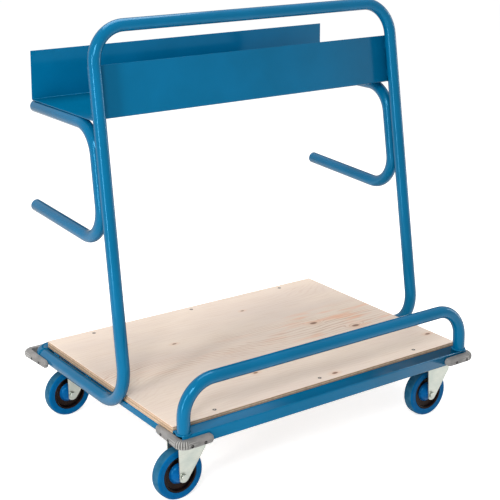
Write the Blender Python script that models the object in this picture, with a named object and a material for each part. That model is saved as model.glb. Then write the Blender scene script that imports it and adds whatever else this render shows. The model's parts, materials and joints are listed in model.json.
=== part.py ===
"""A two-level material cart: a plywood deck on a steel frame with four swivel casters, a leaning
tube hoop that carries a folded steel tray and two hook arms, a low front rail and rubber corner pads.

The origin is on the floor under the middle of the cart. +X runs along the deck, +Y to the rear and
+Z up. All sizes are in metres.
"""

import math

import bmesh
import bpy
from mathutils import Matrix, Vector

# Clearance between pieces that touch on the real cart, how far a cutter runs past a face, and how
# close two points of one outline lie when they are the same point
SEAT_GAP = 0.0003
CUT_OVERRUN = 0.004
MERGE_DISTANCE = 0.00001

# Plywood deck and its screws
DECK_LENGTH = 0.950
DECK_WIDTH = 0.676
DECK_THICKNESS = 0.019
DECK_TOP = 0.213
SCREW_HEAD_RADIUS = 0.0052
SCREW_HEAD_DEPTH = 0.0030
SCREW_SHANK_RADIUS = 0.0022
SCREW_EDGE_DISTANCE = 0.022
SCREW_SPACING = 0.337

# Steel frame under and in front of the deck
FRAME_HEIGHT = 0.0207
SIDE_WIDTH = 0.030
CROSS_WIDTH = 0.036
FRAME_WALL = 0.0020
REAR_MARGIN = 0.008
LEDGE_WIDTH = 0.047
LEDGE_DROP = 0.009

# Bent round tube of the hoop, rear bar, low rail and hook arms
TUBE_RADIUS = 0.017
TUBE_WALL = 0.0015
TUBE_SIDES = 12
BEND_STEPS = 5

# Hoop
HOOP_LEAN = math.radians(8.62)
HOOP_DECK_Y = -0.144
HOOP_TOP = 1.157
HOOP_TOP_BEND = 0.092
HOOP_FOOT_BEND = 0.105
FOOT_CENTRE_HEIGHT = 0.181
REAR_CORNER_BEND = 0.034
REAR_CORNER_STUB = 0.002

# Low rail in front of the deck
LOW_RAIL_HALF_SPAN = 0.462
LOW_RAIL_RISE = 0.1256
LOW_RAIL_BEND = 0.085

# Folded tray
TRAY_END_INSET = 0.0063
TRAY_SHEET = 0.0020
TRAY_FLOOR_HEIGHT = 0.922
TRAY_REAR_Y = 0.330
TRAY_FLANGE_RISE = 0.136

# Hook arms behind the hoop
ARM_BEND = 0.085
ARM_REACH = 0.345
ARM_TIP_HEIGHT = 0.619
ARM_SLOPE = math.radians(2.86)

# Rubber corner pads
PAD_THICKNESS = 0.020
PAD_END_THICKNESS = 0.012
PAD_SIDE_LEG = 0.134
PAD_FRONT_LEG = 0.103
PAD_BOTTOM = 0.1750
REAR_PAD_DROP = 0.0125
PAD_HEIGHT = 0.022
PAD_CHAMFER = 0.006
PAD_CORNER_RADIUS = 0.030
PAD_END_RADIUS = 0.008

# Corner plates that carry the casters
CORNER_PLATE_THICKNESS = 0.006
CORNER_PLATE_INSET = 0.012
CORNER_PLATE_INNER_MARGIN = 0.006

# Casters
CASTER_X = 0.419
FRONT_CASTER_Y = 0.2995
REAR_CASTER_Y = 0.2945
MOUNT_PLATE_LENGTH = 0.100
MOUNT_PLATE_WIDTH = 0.085
MOUNT_PLATE_THICKNESS = 0.004
MOUNT_PLATE_CORNER = 0.010
RACE_RADIUS = 0.029
RACE_LIP = 0.004
RACE_BASE_RADIUS = 0.024
RACE_HEIGHT = 0.012
KING_PIN_RADIUS = 0.0080
KING_NUT_RADIUS = 0.0115
KING_NUT_HEIGHT = 0.0065
RUNNING_GAP = 0.0004

FORK_HALF_WIDTH = 0.0285
FORK_SHEET = 0.0030
FORK_SHOULDER = 0.007
FORK_FRONT = 0.047
FORK_BACK = 0.032
FORK_FRONT_DROP = 0.021
FORK_TIP_RADIUS = 0.015
FORK_TIP_FORWARD = 0.003
FORK_TIP_DROP = 0.002
CASTER_TRAIL = 0.020

WHEEL_RADIUS = 0.0670
TYRE_HALF_WIDTH = 0.016
TYRE_INNER_RADIUS = 0.0475
TYRE_SEAT_HALF_WIDTH = 0.0155
TYRE_BULGE_RADIUS = 0.0583
TYRE_SHOULDER_RADIUS = 0.0642
TYRE_SHOULDER_HALF_WIDTH = 0.0140
TYRE_CROWN_HALF_WIDTH = 0.0085
RIM_INNER_RADIUS = 0.0430
WEB_OUTER_RADIUS = 0.0400
WEB_HALF_WIDTH = 0.0055
WEB_INNER_RADIUS = 0.0185
BARREL_HALF_WIDTH = 0.0105
HUB_RADIUS = 0.0150
GUARD_RADIUS = 0.0275
GUARD_EDGE = 0.0012
GUARD_SHOULDER_RADIUS = 0.0225
GUARD_SHOULDER_HALF_WIDTH = 0.0137
GUARD_TOP_RADIUS = 0.0130
GUARD_TOP_HALF_WIDTH = 0.0195
SPIGOT_RADIUS = 0.0095
SPIGOT_CLEARANCE = 0.0005
AXLE_RADIUS = 0.0050
AXLE_HEAD_RADIUS = 0.0085
AXLE_HEAD_HEIGHT = 0.0060
WHEEL_STEPS = 28
HUB_STEPS = 16
PIN_STEPS = 12

# Heights and faces that follow from the sizes above
deck_bottom = DECK_TOP - DECK_THICKNESS
frame_top = deck_bottom - SEAT_GAP
frame_bottom = frame_top - FRAME_HEIGHT
ledge_top = DECK_TOP - LEDGE_DROP
deck_end = DECK_LENGTH / 2
deck_side = DECK_WIDTH / 2
front_face = -deck_side - LEDGE_WIDTH
frame_rear = deck_side + REAR_MARGIN
hoop_x = deck_end + SEAT_GAP + TUBE_RADIUS
rear_bar_y = frame_rear + SEAT_GAP + TUBE_RADIUS
foot_end = rear_bar_y - REAR_CORNER_BEND - REAR_CORNER_STUB
corner_plate_bottom = frame_bottom - SEAT_GAP - CORNER_PLATE_THICKNESS
mount_plate_top = corner_plate_bottom - SEAT_GAP
mount_plate_bottom = mount_plate_top - MOUNT_PLATE_THICKNESS
crown_top = mount_plate_bottom - RACE_HEIGHT - RUNNING_GAP
crown_bottom = crown_top - FORK_SHEET
fork_inner = FORK_HALF_WIDTH - FORK_SHEET
spigot_end = fork_inner - SPIGOT_CLEARANCE
caster_y = {-1: FRONT_CASTER_Y, 1: REAR_CASTER_Y}
corners = {
    "front_left": (-1, -1),
    "front_right": (1, -1),
    "rear_left": (-1, 1),
    "rear_right": (1, 1),
}


def clear_scene():
    """Removes the objects that a new file starts with."""
    for thing in list(bpy.data.objects):
        bpy.data.objects.remove(thing)


def material(name, colour, roughness, metallic=0.0):
    """A Principled material of one colour."""
    made = bpy.data.materials.new(name)
    made.use_nodes = True
    shader = made.node_tree.nodes["Principled BSDF"]
    shader.inputs["Base Color"].default_value = (*colour, 1.0)
    shader.inputs["Roughness"].default_value = roughness
    shader.inputs["Metallic"].default_value = metallic
    return made


def place(name, data, surface, parent=None, smooth_degrees=None):
    """Puts mesh or curve data into the scene as one named object."""
    if not data.materials:
        data.materials.append(surface)
    thing = bpy.data.objects.new(name, data)
    thing.parent = parent
    bpy.context.collection.objects.link(thing)
    if smooth_degrees is not None:
        data.shade_smooth()
        data.set_sharp_from_angle(angle=math.radians(smooth_degrees))
    return thing


def mesh_from(shape, name):
    """Turns a bmesh into mesh data with its faces pointing outwards."""
    bmesh.ops.recalc_face_normals(shape, faces=shape.faces)
    data = bpy.data.meshes.new(name)
    shape.to_mesh(data)
    shape.free()
    return data


def add_ring(shape, points):
    """Adds a closed loop of vertices and returns them."""
    return [shape.verts.new(point) for point in points]


def box_mesh(name, low, high):
    """A box between two opposite corners."""
    shape = bmesh.new()
    size = [b - a for a, b in zip(low, high)]
    middle = [(a + b) / 2 for a, b in zip(low, high)]
    bmesh.ops.create_cube(shape, size=1.0, matrix=Matrix.Translation(middle) @ Matrix.Diagonal((*size, 1.0)))
    return mesh_from(shape, name)


def prism_mesh(name, outline, axis, start, end):
    """Extrudes an outline along X, Y or Z; the outline holds the two other coordinates in order."""
    shape = bmesh.new()
    points = []
    for a, b in outline:
        point = [a, b]
        point.insert(axis, start)
        points.append(point)
    face = shape.faces.new(add_ring(shape, points))
    pushed = bmesh.ops.extrude_face_region(shape, geom=[face])
    moved = [part for part in pushed["geom"] if isinstance(part, bmesh.types.BMVert)]
    step = Vector((0, 0, 0))
    step[axis] = end - start
    bmesh.ops.translate(shape, verts=moved, vec=step)
    return mesh_from(shape, name)


def hollow_bar_mesh(name, low, high, axis, wall):
    """A rectangular tube between two opposite corners, open at both ends along one axis."""
    across = [index for index in range(3) if index != axis]
    shape = bmesh.new()
    rings = []
    for inset in (0.0, wall):
        a_low, a_high = low[across[0]] + inset, high[across[0]] - inset
        b_low, b_high = low[across[1]] + inset, high[across[1]] - inset
        points = []
        for a, b in ((a_low, b_low), (a_high, b_low), (a_high, b_high), (a_low, b_high)):
            point = [a, b]
            point.insert(axis, low[axis])
            points.append(point)
        rings.append(add_ring(shape, points))
    outer, inner = rings
    faces = []
    for index in range(4):
        after = (index + 1) % 4
        faces.append(shape.faces.new((outer[index], outer[after], inner[after], inner[index])))
    pushed = bmesh.ops.extrude_face_region(shape, geom=faces)
    moved = [part for part in pushed["geom"] if isinstance(part, bmesh.types.BMVert)]
    step = Vector((0, 0, 0))
    step[axis] = high[axis] - low[axis]
    bmesh.ops.translate(shape, verts=moved, vec=step)
    return mesh_from(shape, name)


def turned_mesh(name, profile, steps, axis="Z"):
    """Spins a closed outline of (radius, height) points about Z, or about Y for a wheel."""
    shape = bmesh.new()
    ring = add_ring(shape, [(radius, 0, height) for radius, height in profile])
    edges = [shape.edges.new((ring[i - 1], ring[i])) for i in range(len(ring))]
    bmesh.ops.spin(
        shape,
        geom=ring + edges,
        cent=(0, 0, 0),
        axis=(0, 0, 1),
        angle=2 * math.pi,
        steps=steps,
        use_merge=True,
    )
    bmesh.ops.remove_doubles(shape, verts=shape.verts, dist=MERGE_DISTANCE)
    on_axis = [edge for edge in shape.edges if len(edge.link_faces) != 2]
    bmesh.ops.delete(shape, geom=on_axis, context="EDGES")
    if axis == "Y":
        bmesh.ops.rotate(shape, verts=shape.verts, matrix=Matrix.Rotation(math.pi / 2, 3, "X"))
    return mesh_from(shape, name)


def rounded_path(stops, radii, steps=BEND_STEPS):
    """The centre line through the stops, with an arc of the given radius at each inner stop."""
    stops = [Vector(stop) for stop in stops]
    path = [stops[0]]
    for before, corner, after, radius in zip(stops, stops[1:], stops[2:], radii):
        towards, away = (before - corner).normalized(), (after - corner).normalized()
        half = towards.angle(away) / 2
        centre = corner + (towards + away).normalized() * radius / math.sin(half)
        first = corner + towards * radius / math.tan(half) - centre
        last = corner + away * radius / math.tan(half) - centre
        swept = first.angle(last)
        for step in range(steps + 1):
            share = step / steps
            turn = math.sin((1 - share) * swept) * first + math.sin(share * swept) * last
            path.append(centre + turn / math.sin(swept))
    path.append(stops[-1])
    return path


def bent_tube(name, path, surface):
    """A round steel tube along a path, hollow and open at both ends."""
    curve = bpy.data.curves.new(name, "CURVE")
    curve.dimensions = "3D"
    curve.bevel_depth = TUBE_RADIUS
    curve.bevel_resolution = TUBE_SIDES // 2 - 2
    line = curve.splines.new("POLY")
    line.points.add(len(path) - 1)
    for point, place_at in zip(line.points, path):
        point.co = (*place_at, 1.0)
    line.use_smooth = True
    thing = place(name, curve, surface)
    shell = thing.modifiers.new("Tube wall", "SOLIDIFY")
    shell.thickness = TUBE_WALL
    shell.offset = -1.0
    return thing


def boolean(thing, tool, operation):
    """Joins or cuts an object with another one, which is then only a guide."""
    step = thing.modifiers.new(operation.title(), "BOOLEAN")
    step.operation = operation
    step.solver = "EXACT"
    step.object = tool
    tool.hide_render = True
    tool.display_type = "WIRE"


def arc_points(centre, radius, start, end, steps):
    """Points on an arc from one angle to another, both in radians."""
    points = []
    for step in range(steps + 1):
        angle = start + (end - start) * step / steps
        points.append((centre[0] + radius * math.cos(angle), centre[1] + radius * math.sin(angle)))
    return points


def screw_profile(grow):
    """Half outline of a countersunk deck screw, with its point end just above the frame."""
    head = SCREW_HEAD_RADIUS + grow
    shank = SCREW_SHANK_RADIUS + grow
    end = deck_bottom if grow == 0 else deck_bottom - CUT_OVERRUN
    top = DECK_TOP if grow == 0 else DECK_TOP + CUT_OVERRUN
    return [(0, top), (head, top), (head, DECK_TOP), (shank, DECK_TOP - SCREW_HEAD_DEPTH - grow), (shank, end), (0, end)]


def build_deck(plywood, steel):
    """The plywood board and the six screws that hold it, three along each long edge."""
    low = (-deck_end, -deck_side, deck_bottom)
    high = (deck_end, deck_side, DECK_TOP)
    board = place("deck_board", box_mesh("deck_board", low, high), plywood)
    screw = turned_mesh("deck_screw", screw_profile(0), PIN_STEPS)
    screw.shade_smooth()
    screw.set_sharp_from_angle(angle=math.radians(30))
    cutter = turned_mesh("deck_hole", screw_profile(SEAT_GAP), PIN_STEPS)
    for row, side in (("front", -1), ("rear", 1)):
        for column in (-1, 0, 1):
            spot = (column * SCREW_SPACING, side * (deck_side - SCREW_EDGE_DISTANCE), 0)
            number = column + 2
            piece = place(f"deck_screw_{row}_{number}", screw, steel)
            piece.location = spot
            hole = place(f"deck_hole_{row}_{number}", cutter, steel)
            hole.location = spot
            boolean(board, hole, "DIFFERENCE")


def build_frame(paint):
    """Four hollow bars under the deck, one across the middle, and the wider ledge bar in front."""
    inner = deck_end - SIDE_WIDTH - SEAT_GAP
    for side, name in ((-1, "frame_side_left"), (1, "frame_side_right")):
        low_x, high_x = sorted((side * deck_end, side * (deck_end - SIDE_WIDTH)))
        low = (low_x, -deck_side + SEAT_GAP, frame_bottom)
        high = (high_x, rear_bar_y - REAR_CORNER_BEND, frame_top)
        place(name, hollow_bar_mesh(name, low, high, 1, FRAME_WALL), paint)
    spans = {
        "frame_cross_front": -deck_side + SEAT_GAP,
        "frame_cross_middle": -CROSS_WIDTH / 2,
        "frame_cross_rear": frame_rear - CROSS_WIDTH,
    }
    for name, start in spans.items():
        low = (-inner, start, frame_bottom)
        high = (inner, start + CROSS_WIDTH, frame_top)
        place(name, hollow_bar_mesh(name, low, high, 0, FRAME_WALL), paint)
    low = (-deck_end, front_face, frame_bottom)
    high = (deck_end, -deck_side - SEAT_GAP, ledge_top)
    place("frame_front_ledge", hollow_bar_mesh("frame_front_ledge", low, high, 0, FRAME_WALL), paint)


def upright_y(height, behind=0.0):
    """Y of the hoop's leaning plane at a height, moved square to the plane by a distance."""
    return HOOP_DECK_Y + (height - DECK_TOP) * math.tan(HOOP_LEAN) + behind / math.cos(HOOP_LEAN)


def build_hoop(paint):
    """The bent hoop with its two feet, and the rear bar that closes the feet behind the deck."""
    foot = FOOT_CENTRE_HEIGHT
    stops = [
        (-hoop_x, foot_end - SEAT_GAP, foot),
        (-hoop_x, upright_y(foot), foot),
        (-hoop_x, upright_y(HOOP_TOP), HOOP_TOP),
        (hoop_x, upright_y(HOOP_TOP), HOOP_TOP),
        (hoop_x, upright_y(foot), foot),
        (hoop_x, foot_end - SEAT_GAP, foot),
    ]
    radii = (HOOP_FOOT_BEND, HOOP_TOP_BEND, HOOP_TOP_BEND, HOOP_FOOT_BEND)
    bent_tube("hoop", rounded_path(stops, radii), paint)
    stops = [
        (-hoop_x, foot_end, foot),
        (-hoop_x, rear_bar_y, foot),
        (hoop_x, rear_bar_y, foot),
        (hoop_x, foot_end, foot),
    ]
    bent_tube("rear_bar", rounded_path(stops, (REAR_CORNER_BEND, REAR_CORNER_BEND)), paint)


def build_low_rail(paint):
    """The low rail, standing on the front ledge."""
    y = front_face + TUBE_RADIUS
    foot = ledge_top + SEAT_GAP
    top = ledge_top + LOW_RAIL_RISE
    span = LOW_RAIL_HALF_SPAN
    stops = [(-span, y, foot), (-span, y, top), (span, y, top), (span, y, foot)]
    bent_tube("low_rail", rounded_path(stops, (LOW_RAIL_BEND, LOW_RAIL_BEND)), paint)


def build_tray(paint):
    """The folded tray: a front flange on the hoop's slope, a level floor and an upright rear flange."""
    bottom = TRAY_FLOOR_HEIGHT
    top = bottom + TRAY_FLANGE_RISE
    behind = TUBE_RADIUS + SEAT_GAP
    floor_top = bottom + TRAY_SHEET
    outline = [
        (upright_y(bottom, behind), bottom),
        (TRAY_REAR_Y, bottom),
        (TRAY_REAR_Y, top),
        (TRAY_REAR_Y - TRAY_SHEET, top),
        (TRAY_REAR_Y - TRAY_SHEET, floor_top),
        (upright_y(floor_top, behind + TRAY_SHEET), floor_top),
        (upright_y(top, behind + TRAY_SHEET), top),
        (upright_y(top, behind), top),
    ]
    reach = hoop_x + TUBE_RADIUS - TRAY_END_INSET
    place("tray", prism_mesh("tray", outline, 0, -reach, reach), paint)


def build_hook_arms(paint):
    """Two bent tubes behind the hoop: a run under the tray, one down the hoop and a hook arm."""
    behind = 2 * TUBE_RADIUS + SEAT_GAP
    top = TRAY_FLOOR_HEIGHT - SEAT_GAP - TUBE_RADIUS
    rise = math.tan(ARM_SLOPE)
    lean = math.tan(HOOP_LEAN)
    # the arm's line and the sloping run meet where both give the same Y
    base = upright_y(ARM_TIP_HEIGHT - ARM_REACH * rise, behind)
    knee_y = base / (1 - rise * lean)
    knee_z = ARM_TIP_HEIGHT - (ARM_REACH - knee_y) * rise
    for side, name in ((-1, "hook_arm_left"), (1, "hook_arm_right")):
        x = side * hoop_x
        stops = [
            (x, TRAY_REAR_Y, top),
            (x, upright_y(top, behind), top),
            (x, knee_y, knee_z),
            (x, ARM_REACH, ARM_TIP_HEIGHT),
        ]
        bent_tube(name, rounded_path(stops, (ARM_BEND, ARM_BEND)), paint)


def pad_mesh(name, side, end):
    """An L-shaped rubber pad round one corner: a rounded corner, a side leg that thins towards its end,
    round ends and chamfered edges."""
    if end < 0:
        inner_x, inner_y = deck_end + SEAT_GAP, -front_face + SEAT_GAP
    else:
        inner_x, inner_y = hoop_x + TUBE_RADIUS + SEAT_GAP, rear_bar_y + TUBE_RADIUS + SEAT_GAP
    outer_x, outer_y = inner_x + PAD_THICKNESS, inner_y + PAD_THICKNESS
    bottom = PAD_BOTTOM if end < 0 else PAD_BOTTOM - REAR_PAD_DROP
    side_end = outer_y - PAD_SIDE_LEG
    outline = [(inner_x, inner_y), (inner_x, side_end), (inner_x + PAD_END_THICKNESS, side_end)]
    centre = (outer_x - PAD_CORNER_RADIUS, outer_y - PAD_CORNER_RADIUS)
    outline += arc_points(centre, PAD_CORNER_RADIUS, 0, math.pi / 2, 4)
    outline += [(outer_x - PAD_FRONT_LEG, outer_y), (outer_x - PAD_FRONT_LEG, inner_y)]
    shape = bmesh.new()
    ring = add_ring(shape, [(side * x, end * y, bottom) for x, y in outline])
    pushed = bmesh.ops.extrude_face_region(shape, geom=[shape.faces.new(ring)])
    moved = [part for part in pushed["geom"] if isinstance(part, bmesh.types.BMVert)]
    bmesh.ops.translate(shape, verts=moved, vec=(0, 0, PAD_HEIGHT))
    bmesh.ops.recalc_face_normals(shape, faces=shape.faces)
    round_pad_ends(shape, side, end, outer_x, outer_y)
    chamfer_pad(shape, side, end, inner_x, inner_y, bottom)
    return mesh_from(shape, name)


def round_pad_ends(shape, side, end, outer_x, outer_y):
    """Rounds the two level edges at the end of each leg."""
    touch = SEAT_GAP / 2
    picked = []
    for edge in shape.edges:
        a, b = (vert.co for vert in edge.verts)
        level = abs(a.z - b.z) < touch
        at_side_end = all(abs(end * co.y - (outer_y - PAD_SIDE_LEG)) < touch for co in (a, b))
        at_front_end = all(abs(side * co.x - (outer_x - PAD_FRONT_LEG)) < touch for co in (a, b))
        if level and (at_side_end or at_front_end):
            picked.append(edge)
    bmesh.ops.bevel(shape, geom=picked, offset=PAD_END_RADIUS, segments=3, profile=0.5, affect="EDGES")


def chamfer_pad(shape, side, end, inner_x, inner_y, bottom):
    """Chamfers the outer top and bottom edges."""
    touch = SEAT_GAP / 2
    picked = []
    for edge in shape.edges:
        a, b = (vert.co.z for vert in edge.verts)
        level = abs(a - b) < touch and min(abs(a - bottom), abs(a - bottom - PAD_HEIGHT)) < touch
        outside = all(
            side * vert.co.x > inner_x + touch or end * vert.co.y > inner_y + touch for vert in edge.verts
        )
        upright = any(abs(face.normal.z) < 0.5 for face in edge.link_faces)
        if level and outside and upright:
            picked.append(edge)
    bmesh.ops.bevel(shape, geom=picked, offset=PAD_CHAMFER, segments=1, affect="EDGES")


def build_pads(rubber):
    """One pad round each corner."""
    for corner, (side, end) in corners.items():
        name = f"corner_pad_{corner}"
        place(name, pad_mesh(name, side, end), rubber)


def build_corner_plates(paint):
    """The plates under the frame corners that the casters bolt to."""
    top = frame_bottom - SEAT_GAP
    inner_x = CASTER_X - MOUNT_PLATE_LENGTH / 2 - CORNER_PLATE_INNER_MARGIN
    outer_x = deck_end - CORNER_PLATE_INSET / 2
    for corner, (side, end) in corners.items():
        inner_y = caster_y[end] - MOUNT_PLATE_WIDTH / 2 - CORNER_PLATE_INNER_MARGIN
        outer_y = (-front_face if end < 0 else deck_side + CORNER_PLATE_INSET) - CORNER_PLATE_INSET
        low_x, high_x = sorted((side * inner_x, side * outer_x))
        low_y, high_y = sorted((end * inner_y, end * outer_y))
        name = f"corner_plate_{corner}"
        low, high = (low_x, low_y, corner_plate_bottom), (high_x, high_y, top)
        place(name, box_mesh(name, low, high), paint)


def mount_plate_mesh():
    """The caster's top plate, with rounded corners, as a prism about the swivel axis."""
    half_x, half_y = MOUNT_PLATE_LENGTH / 2, MOUNT_PLATE_WIDTH / 2
    outline = []
    for turn, (sign_x, sign_y) in enumerate(((1, 1), (-1, 1), (-1, -1), (1, -1))):
        centre = (sign_x * (half_x - MOUNT_PLATE_CORNER), sign_y * (half_y - MOUNT_PLATE_CORNER))
        start = turn * math.pi / 2
        outline += arc_points(centre, MOUNT_PLATE_CORNER, start, start + math.pi / 2, 3)
    return prism_mesh("mount_plate", outline, 2, mount_plate_bottom, mount_plate_top)


def race_mesh():
    """The pressed race under the top plate, with the king pin and its nut below the fork's crown."""
    root = mount_plate_bottom + MOUNT_PLATE_THICKNESS / 2
    lip = mount_plate_bottom - RACE_LIP
    foot = mount_plate_bottom - RACE_HEIGHT
    nut_top = crown_bottom - RUNNING_GAP
    nut_foot = nut_top - KING_NUT_HEIGHT
    profile = [
        (0, root),
        (RACE_BASE_RADIUS, root),
        (RACE_RADIUS, lip),
        (RACE_RADIUS, foot),
        (KING_PIN_RADIUS, foot),
        (KING_PIN_RADIUS, nut_top),
        (KING_NUT_RADIUS, nut_top),
        (KING_NUT_RADIUS, nut_foot),
        (0, nut_foot),
    ]
    return turned_mesh("swivel_race", profile, HUB_STEPS)


def fork_mesh():
    """The fork's bent sheet as a channel along X: a crown with two legs and rounded shoulders."""
    outer, inner = FORK_HALF_WIDTH, fork_inner
    foot = WHEEL_RADIUS - FORK_TIP_RADIUS - FORK_TIP_DROP - CUT_OVERRUN
    centre_z = crown_top - FORK_SHOULDER
    centre_y = outer - FORK_SHOULDER
    outside = arc_points((centre_y, centre_z), FORK_SHOULDER, 0, math.pi / 2, 4)
    inside = arc_points((centre_y, centre_z), FORK_SHOULDER - FORK_SHEET, 0, math.pi / 2, 4)
    half_out = [(outer, foot), *outside]
    half_in = [(inner, foot), *inside]
    mirrored_out = [(-y, z) for y, z in reversed(half_out)]
    mirrored_in = [(-y, z) for y, z in half_in]
    outline = half_out + mirrored_out + mirrored_in + half_in[::-1]
    start = -FORK_BACK - CUT_OVERRUN
    return prism_mesh("fork", outline, 0, start, FORK_FRONT + CUT_OVERRUN)


def fork_outline_mesh():
    """The side view of the fork, cut out of the channel: straight back edge, sloping front, round tip."""
    tip = (-CASTER_TRAIL + FORK_TIP_FORWARD, WHEEL_RADIUS - FORK_TIP_DROP)
    shoulder = Vector((FORK_FRONT, crown_top - FORK_FRONT_DROP))
    reach = shoulder - Vector(tip)
    # the sloping edge touches the round tip on the front side
    slope = math.atan2(reach.y, reach.x) - math.acos(FORK_TIP_RADIUS / reach.length)
    top = crown_top + CUT_OVERRUN
    outline = [(-FORK_BACK, top)]
    outline += arc_points(tip, FORK_TIP_RADIUS, math.pi, 2 * math.pi + slope, 8)
    outline += [(FORK_FRONT, shoulder.y), (FORK_FRONT, top)]
    return prism_mesh("fork_outline", outline, 1, -FORK_HALF_WIDTH - CUT_OVERRUN, FORK_HALF_WIDTH + CUT_OVERRUN)


def round_bar_mesh(name, radius, start, end, steps, axis="Z"):
    """A plain round bar along Z or Y between two heights."""
    profile = [(0, end), (radius, end), (radius, start), (0, start)]
    return turned_mesh(name, profile, steps, axis)


def wheel_profiles():
    """Closed half outlines of the tyre, the wheel centre and the hub, as (radius, across) points."""
    tyre_half = [
        (TYRE_INNER_RADIUS, TYRE_SEAT_HALF_WIDTH),
        (TYRE_BULGE_RADIUS, TYRE_HALF_WIDTH),
        (TYRE_SHOULDER_RADIUS, TYRE_SHOULDER_HALF_WIDTH),
        (WHEEL_RADIUS, TYRE_CROWN_HALF_WIDTH),
    ]
    rim = TYRE_INNER_RADIUS - SEAT_GAP
    bore = HUB_RADIUS + SEAT_GAP
    centre_half = [
        (bore, BARREL_HALF_WIDTH),
        (WEB_INNER_RADIUS, BARREL_HALF_WIDTH),
        (WEB_INNER_RADIUS, WEB_HALF_WIDTH),
        (WEB_OUTER_RADIUS, WEB_HALF_WIDTH),
        (RIM_INNER_RADIUS, TYRE_SEAT_HALF_WIDTH),
        (rim, TYRE_SEAT_HALF_WIDTH),
    ]
    over_barrel = BARREL_HALF_WIDTH + SEAT_GAP
    over_web = WEB_HALF_WIDTH + SEAT_GAP
    hub_half = [
        (AXLE_RADIUS + RUNNING_GAP, spigot_end),
        (SPIGOT_RADIUS, spigot_end),
        (SPIGOT_RADIUS, GUARD_TOP_HALF_WIDTH),
        (GUARD_TOP_RADIUS, GUARD_TOP_HALF_WIDTH),
        (GUARD_SHOULDER_RADIUS, GUARD_SHOULDER_HALF_WIDTH),
        (GUARD_RADIUS, over_web + GUARD_EDGE),
        (GUARD_RADIUS, over_web),
        (WEB_INNER_RADIUS + SEAT_GAP, over_barrel),
        (HUB_RADIUS, over_barrel),
    ]
    halves = {"tyre": tyre_half, "wheel_centre": centre_half, "hub": hub_half}
    return {name: half + [(r, -y) for r, y in reversed(half)] for name, half in halves.items()}


def axle_mesh():
    """The axle's round shank between the fork's outer faces."""
    reach = FORK_HALF_WIDTH + AXLE_HEAD_HEIGHT / 2
    return round_bar_mesh("axle", AXLE_RADIUS, -reach, reach, PIN_STEPS, "Y")


def axle_head_mesh(start):
    """A six-sided bolt head or nut on the axle."""
    radius = AXLE_HEAD_RADIUS
    outline = [(radius * math.cos(i * math.pi / 3), radius * math.sin(i * math.pi / 3)) for i in range(6)]
    return prism_mesh("axle_head", outline, 1, start, start + AXLE_HEAD_HEIGHT)


def build_caster_head(name, parent, plate, race, zinc):
    """The fixed half of a caster: top plate, race, king pin and nut in one piece."""
    head = place(f"caster_head_{name}", plate.copy(), zinc, parent)
    tool = place(f"race_guide_{name}", race.copy(), zinc, parent)
    boolean(head, tool, "UNION")


def build_fork(name, parent, channel, outline, zinc):
    """The fork, with holes for the king pin and the axle."""
    fork = place(f"fork_{name}", channel.copy(), zinc, parent)
    side_view = place(f"fork_side_guide_{name}", outline.copy(), zinc, parent)
    boolean(fork, side_view, "INTERSECT")
    pin = KING_PIN_RADIUS + RUNNING_GAP
    low, high = crown_bottom - CUT_OVERRUN, crown_top + CUT_OVERRUN
    pin_hole = place(f"fork_pin_guide_{name}", round_bar_mesh("pin_hole", pin, low, high, HUB_STEPS), zinc, parent)
    boolean(fork, pin_hole, "DIFFERENCE")
    axle = AXLE_RADIUS + RUNNING_GAP
    reach = FORK_HALF_WIDTH + CUT_OVERRUN
    hole_mesh = round_bar_mesh("axle_hole", axle, -reach, reach, PIN_STEPS, "Y")
    axle_hole = place(f"fork_axle_guide_{name}", hole_mesh, zinc, parent)
    axle_hole.location = (-CASTER_TRAIL, 0, WHEEL_RADIUS)
    boolean(fork, axle_hole, "DIFFERENCE")


def build_axle(name, parent, zinc):
    """The axle bolt with its head and nut outside the fork's legs, in one piece."""
    axle = place(f"axle_{name}", axle_mesh(), zinc, parent)
    axle.location = (-CASTER_TRAIL, 0, WHEEL_RADIUS)
    outside = FORK_HALF_WIDTH + SEAT_GAP
    for end, start in (("near", -outside - AXLE_HEAD_HEIGHT), ("far", outside)):
        head = place(f"axle_{end}_guide_{name}", axle_head_mesh(start), zinc, parent)
        head.location = axle.location
        boolean(axle, head, "UNION")


def build_casters(zinc, wheel_materials):
    """Four swivel casters, each with an empty on its swivel axis and one on its axle."""
    plate, race = mount_plate_mesh(), race_mesh()
    channel, outline = fork_mesh(), fork_outline_mesh()
    profiles = wheel_profiles()
    steps = {"tyre": WHEEL_STEPS, "wheel_centre": WHEEL_STEPS, "hub": HUB_STEPS}
    wheels = {part: turned_mesh(part, profile, steps[part], "Y") for part, profile in profiles.items()}
    for corner, (side, end) in corners.items():
        swivel = bpy.data.objects.new(f"swivel_{corner}", None)
        swivel.location = (side * CASTER_X, end * caster_y[end], 0)
        bpy.context.collection.objects.link(swivel)
        build_caster_head(corner, swivel, plate, race, zinc)
        build_fork(corner, swivel, channel, outline, zinc)
        build_axle(corner, swivel, zinc)
        spin = bpy.data.objects.new(f"spin_{corner}", None)
        spin.parent = swivel
        spin.location = (-CASTER_TRAIL, 0, WHEEL_RADIUS)
        bpy.context.collection.objects.link(spin)
        for part, mesh in wheels.items():
            place(f"{part}_{corner}", mesh.copy(), wheel_materials[part], spin, 35)


def centre_on_origin():
    """Hangs everything on one empty and moves it along Y until both corner pads stand out equally far."""
    front_overhang = LEDGE_WIDTH + SEAT_GAP + PAD_THICKNESS
    rear_overhang = REAR_MARGIN + 2 * SEAT_GAP + 2 * TUBE_RADIUS + PAD_THICKNESS
    loose = [thing for thing in bpy.data.objects if thing.parent is None]
    cart = bpy.data.objects.new("cart", None)
    bpy.context.collection.objects.link(cart)
    cart.location.y = (front_overhang - rear_overhang) / 2
    for thing in loose:
        thing.parent = cart


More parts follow.
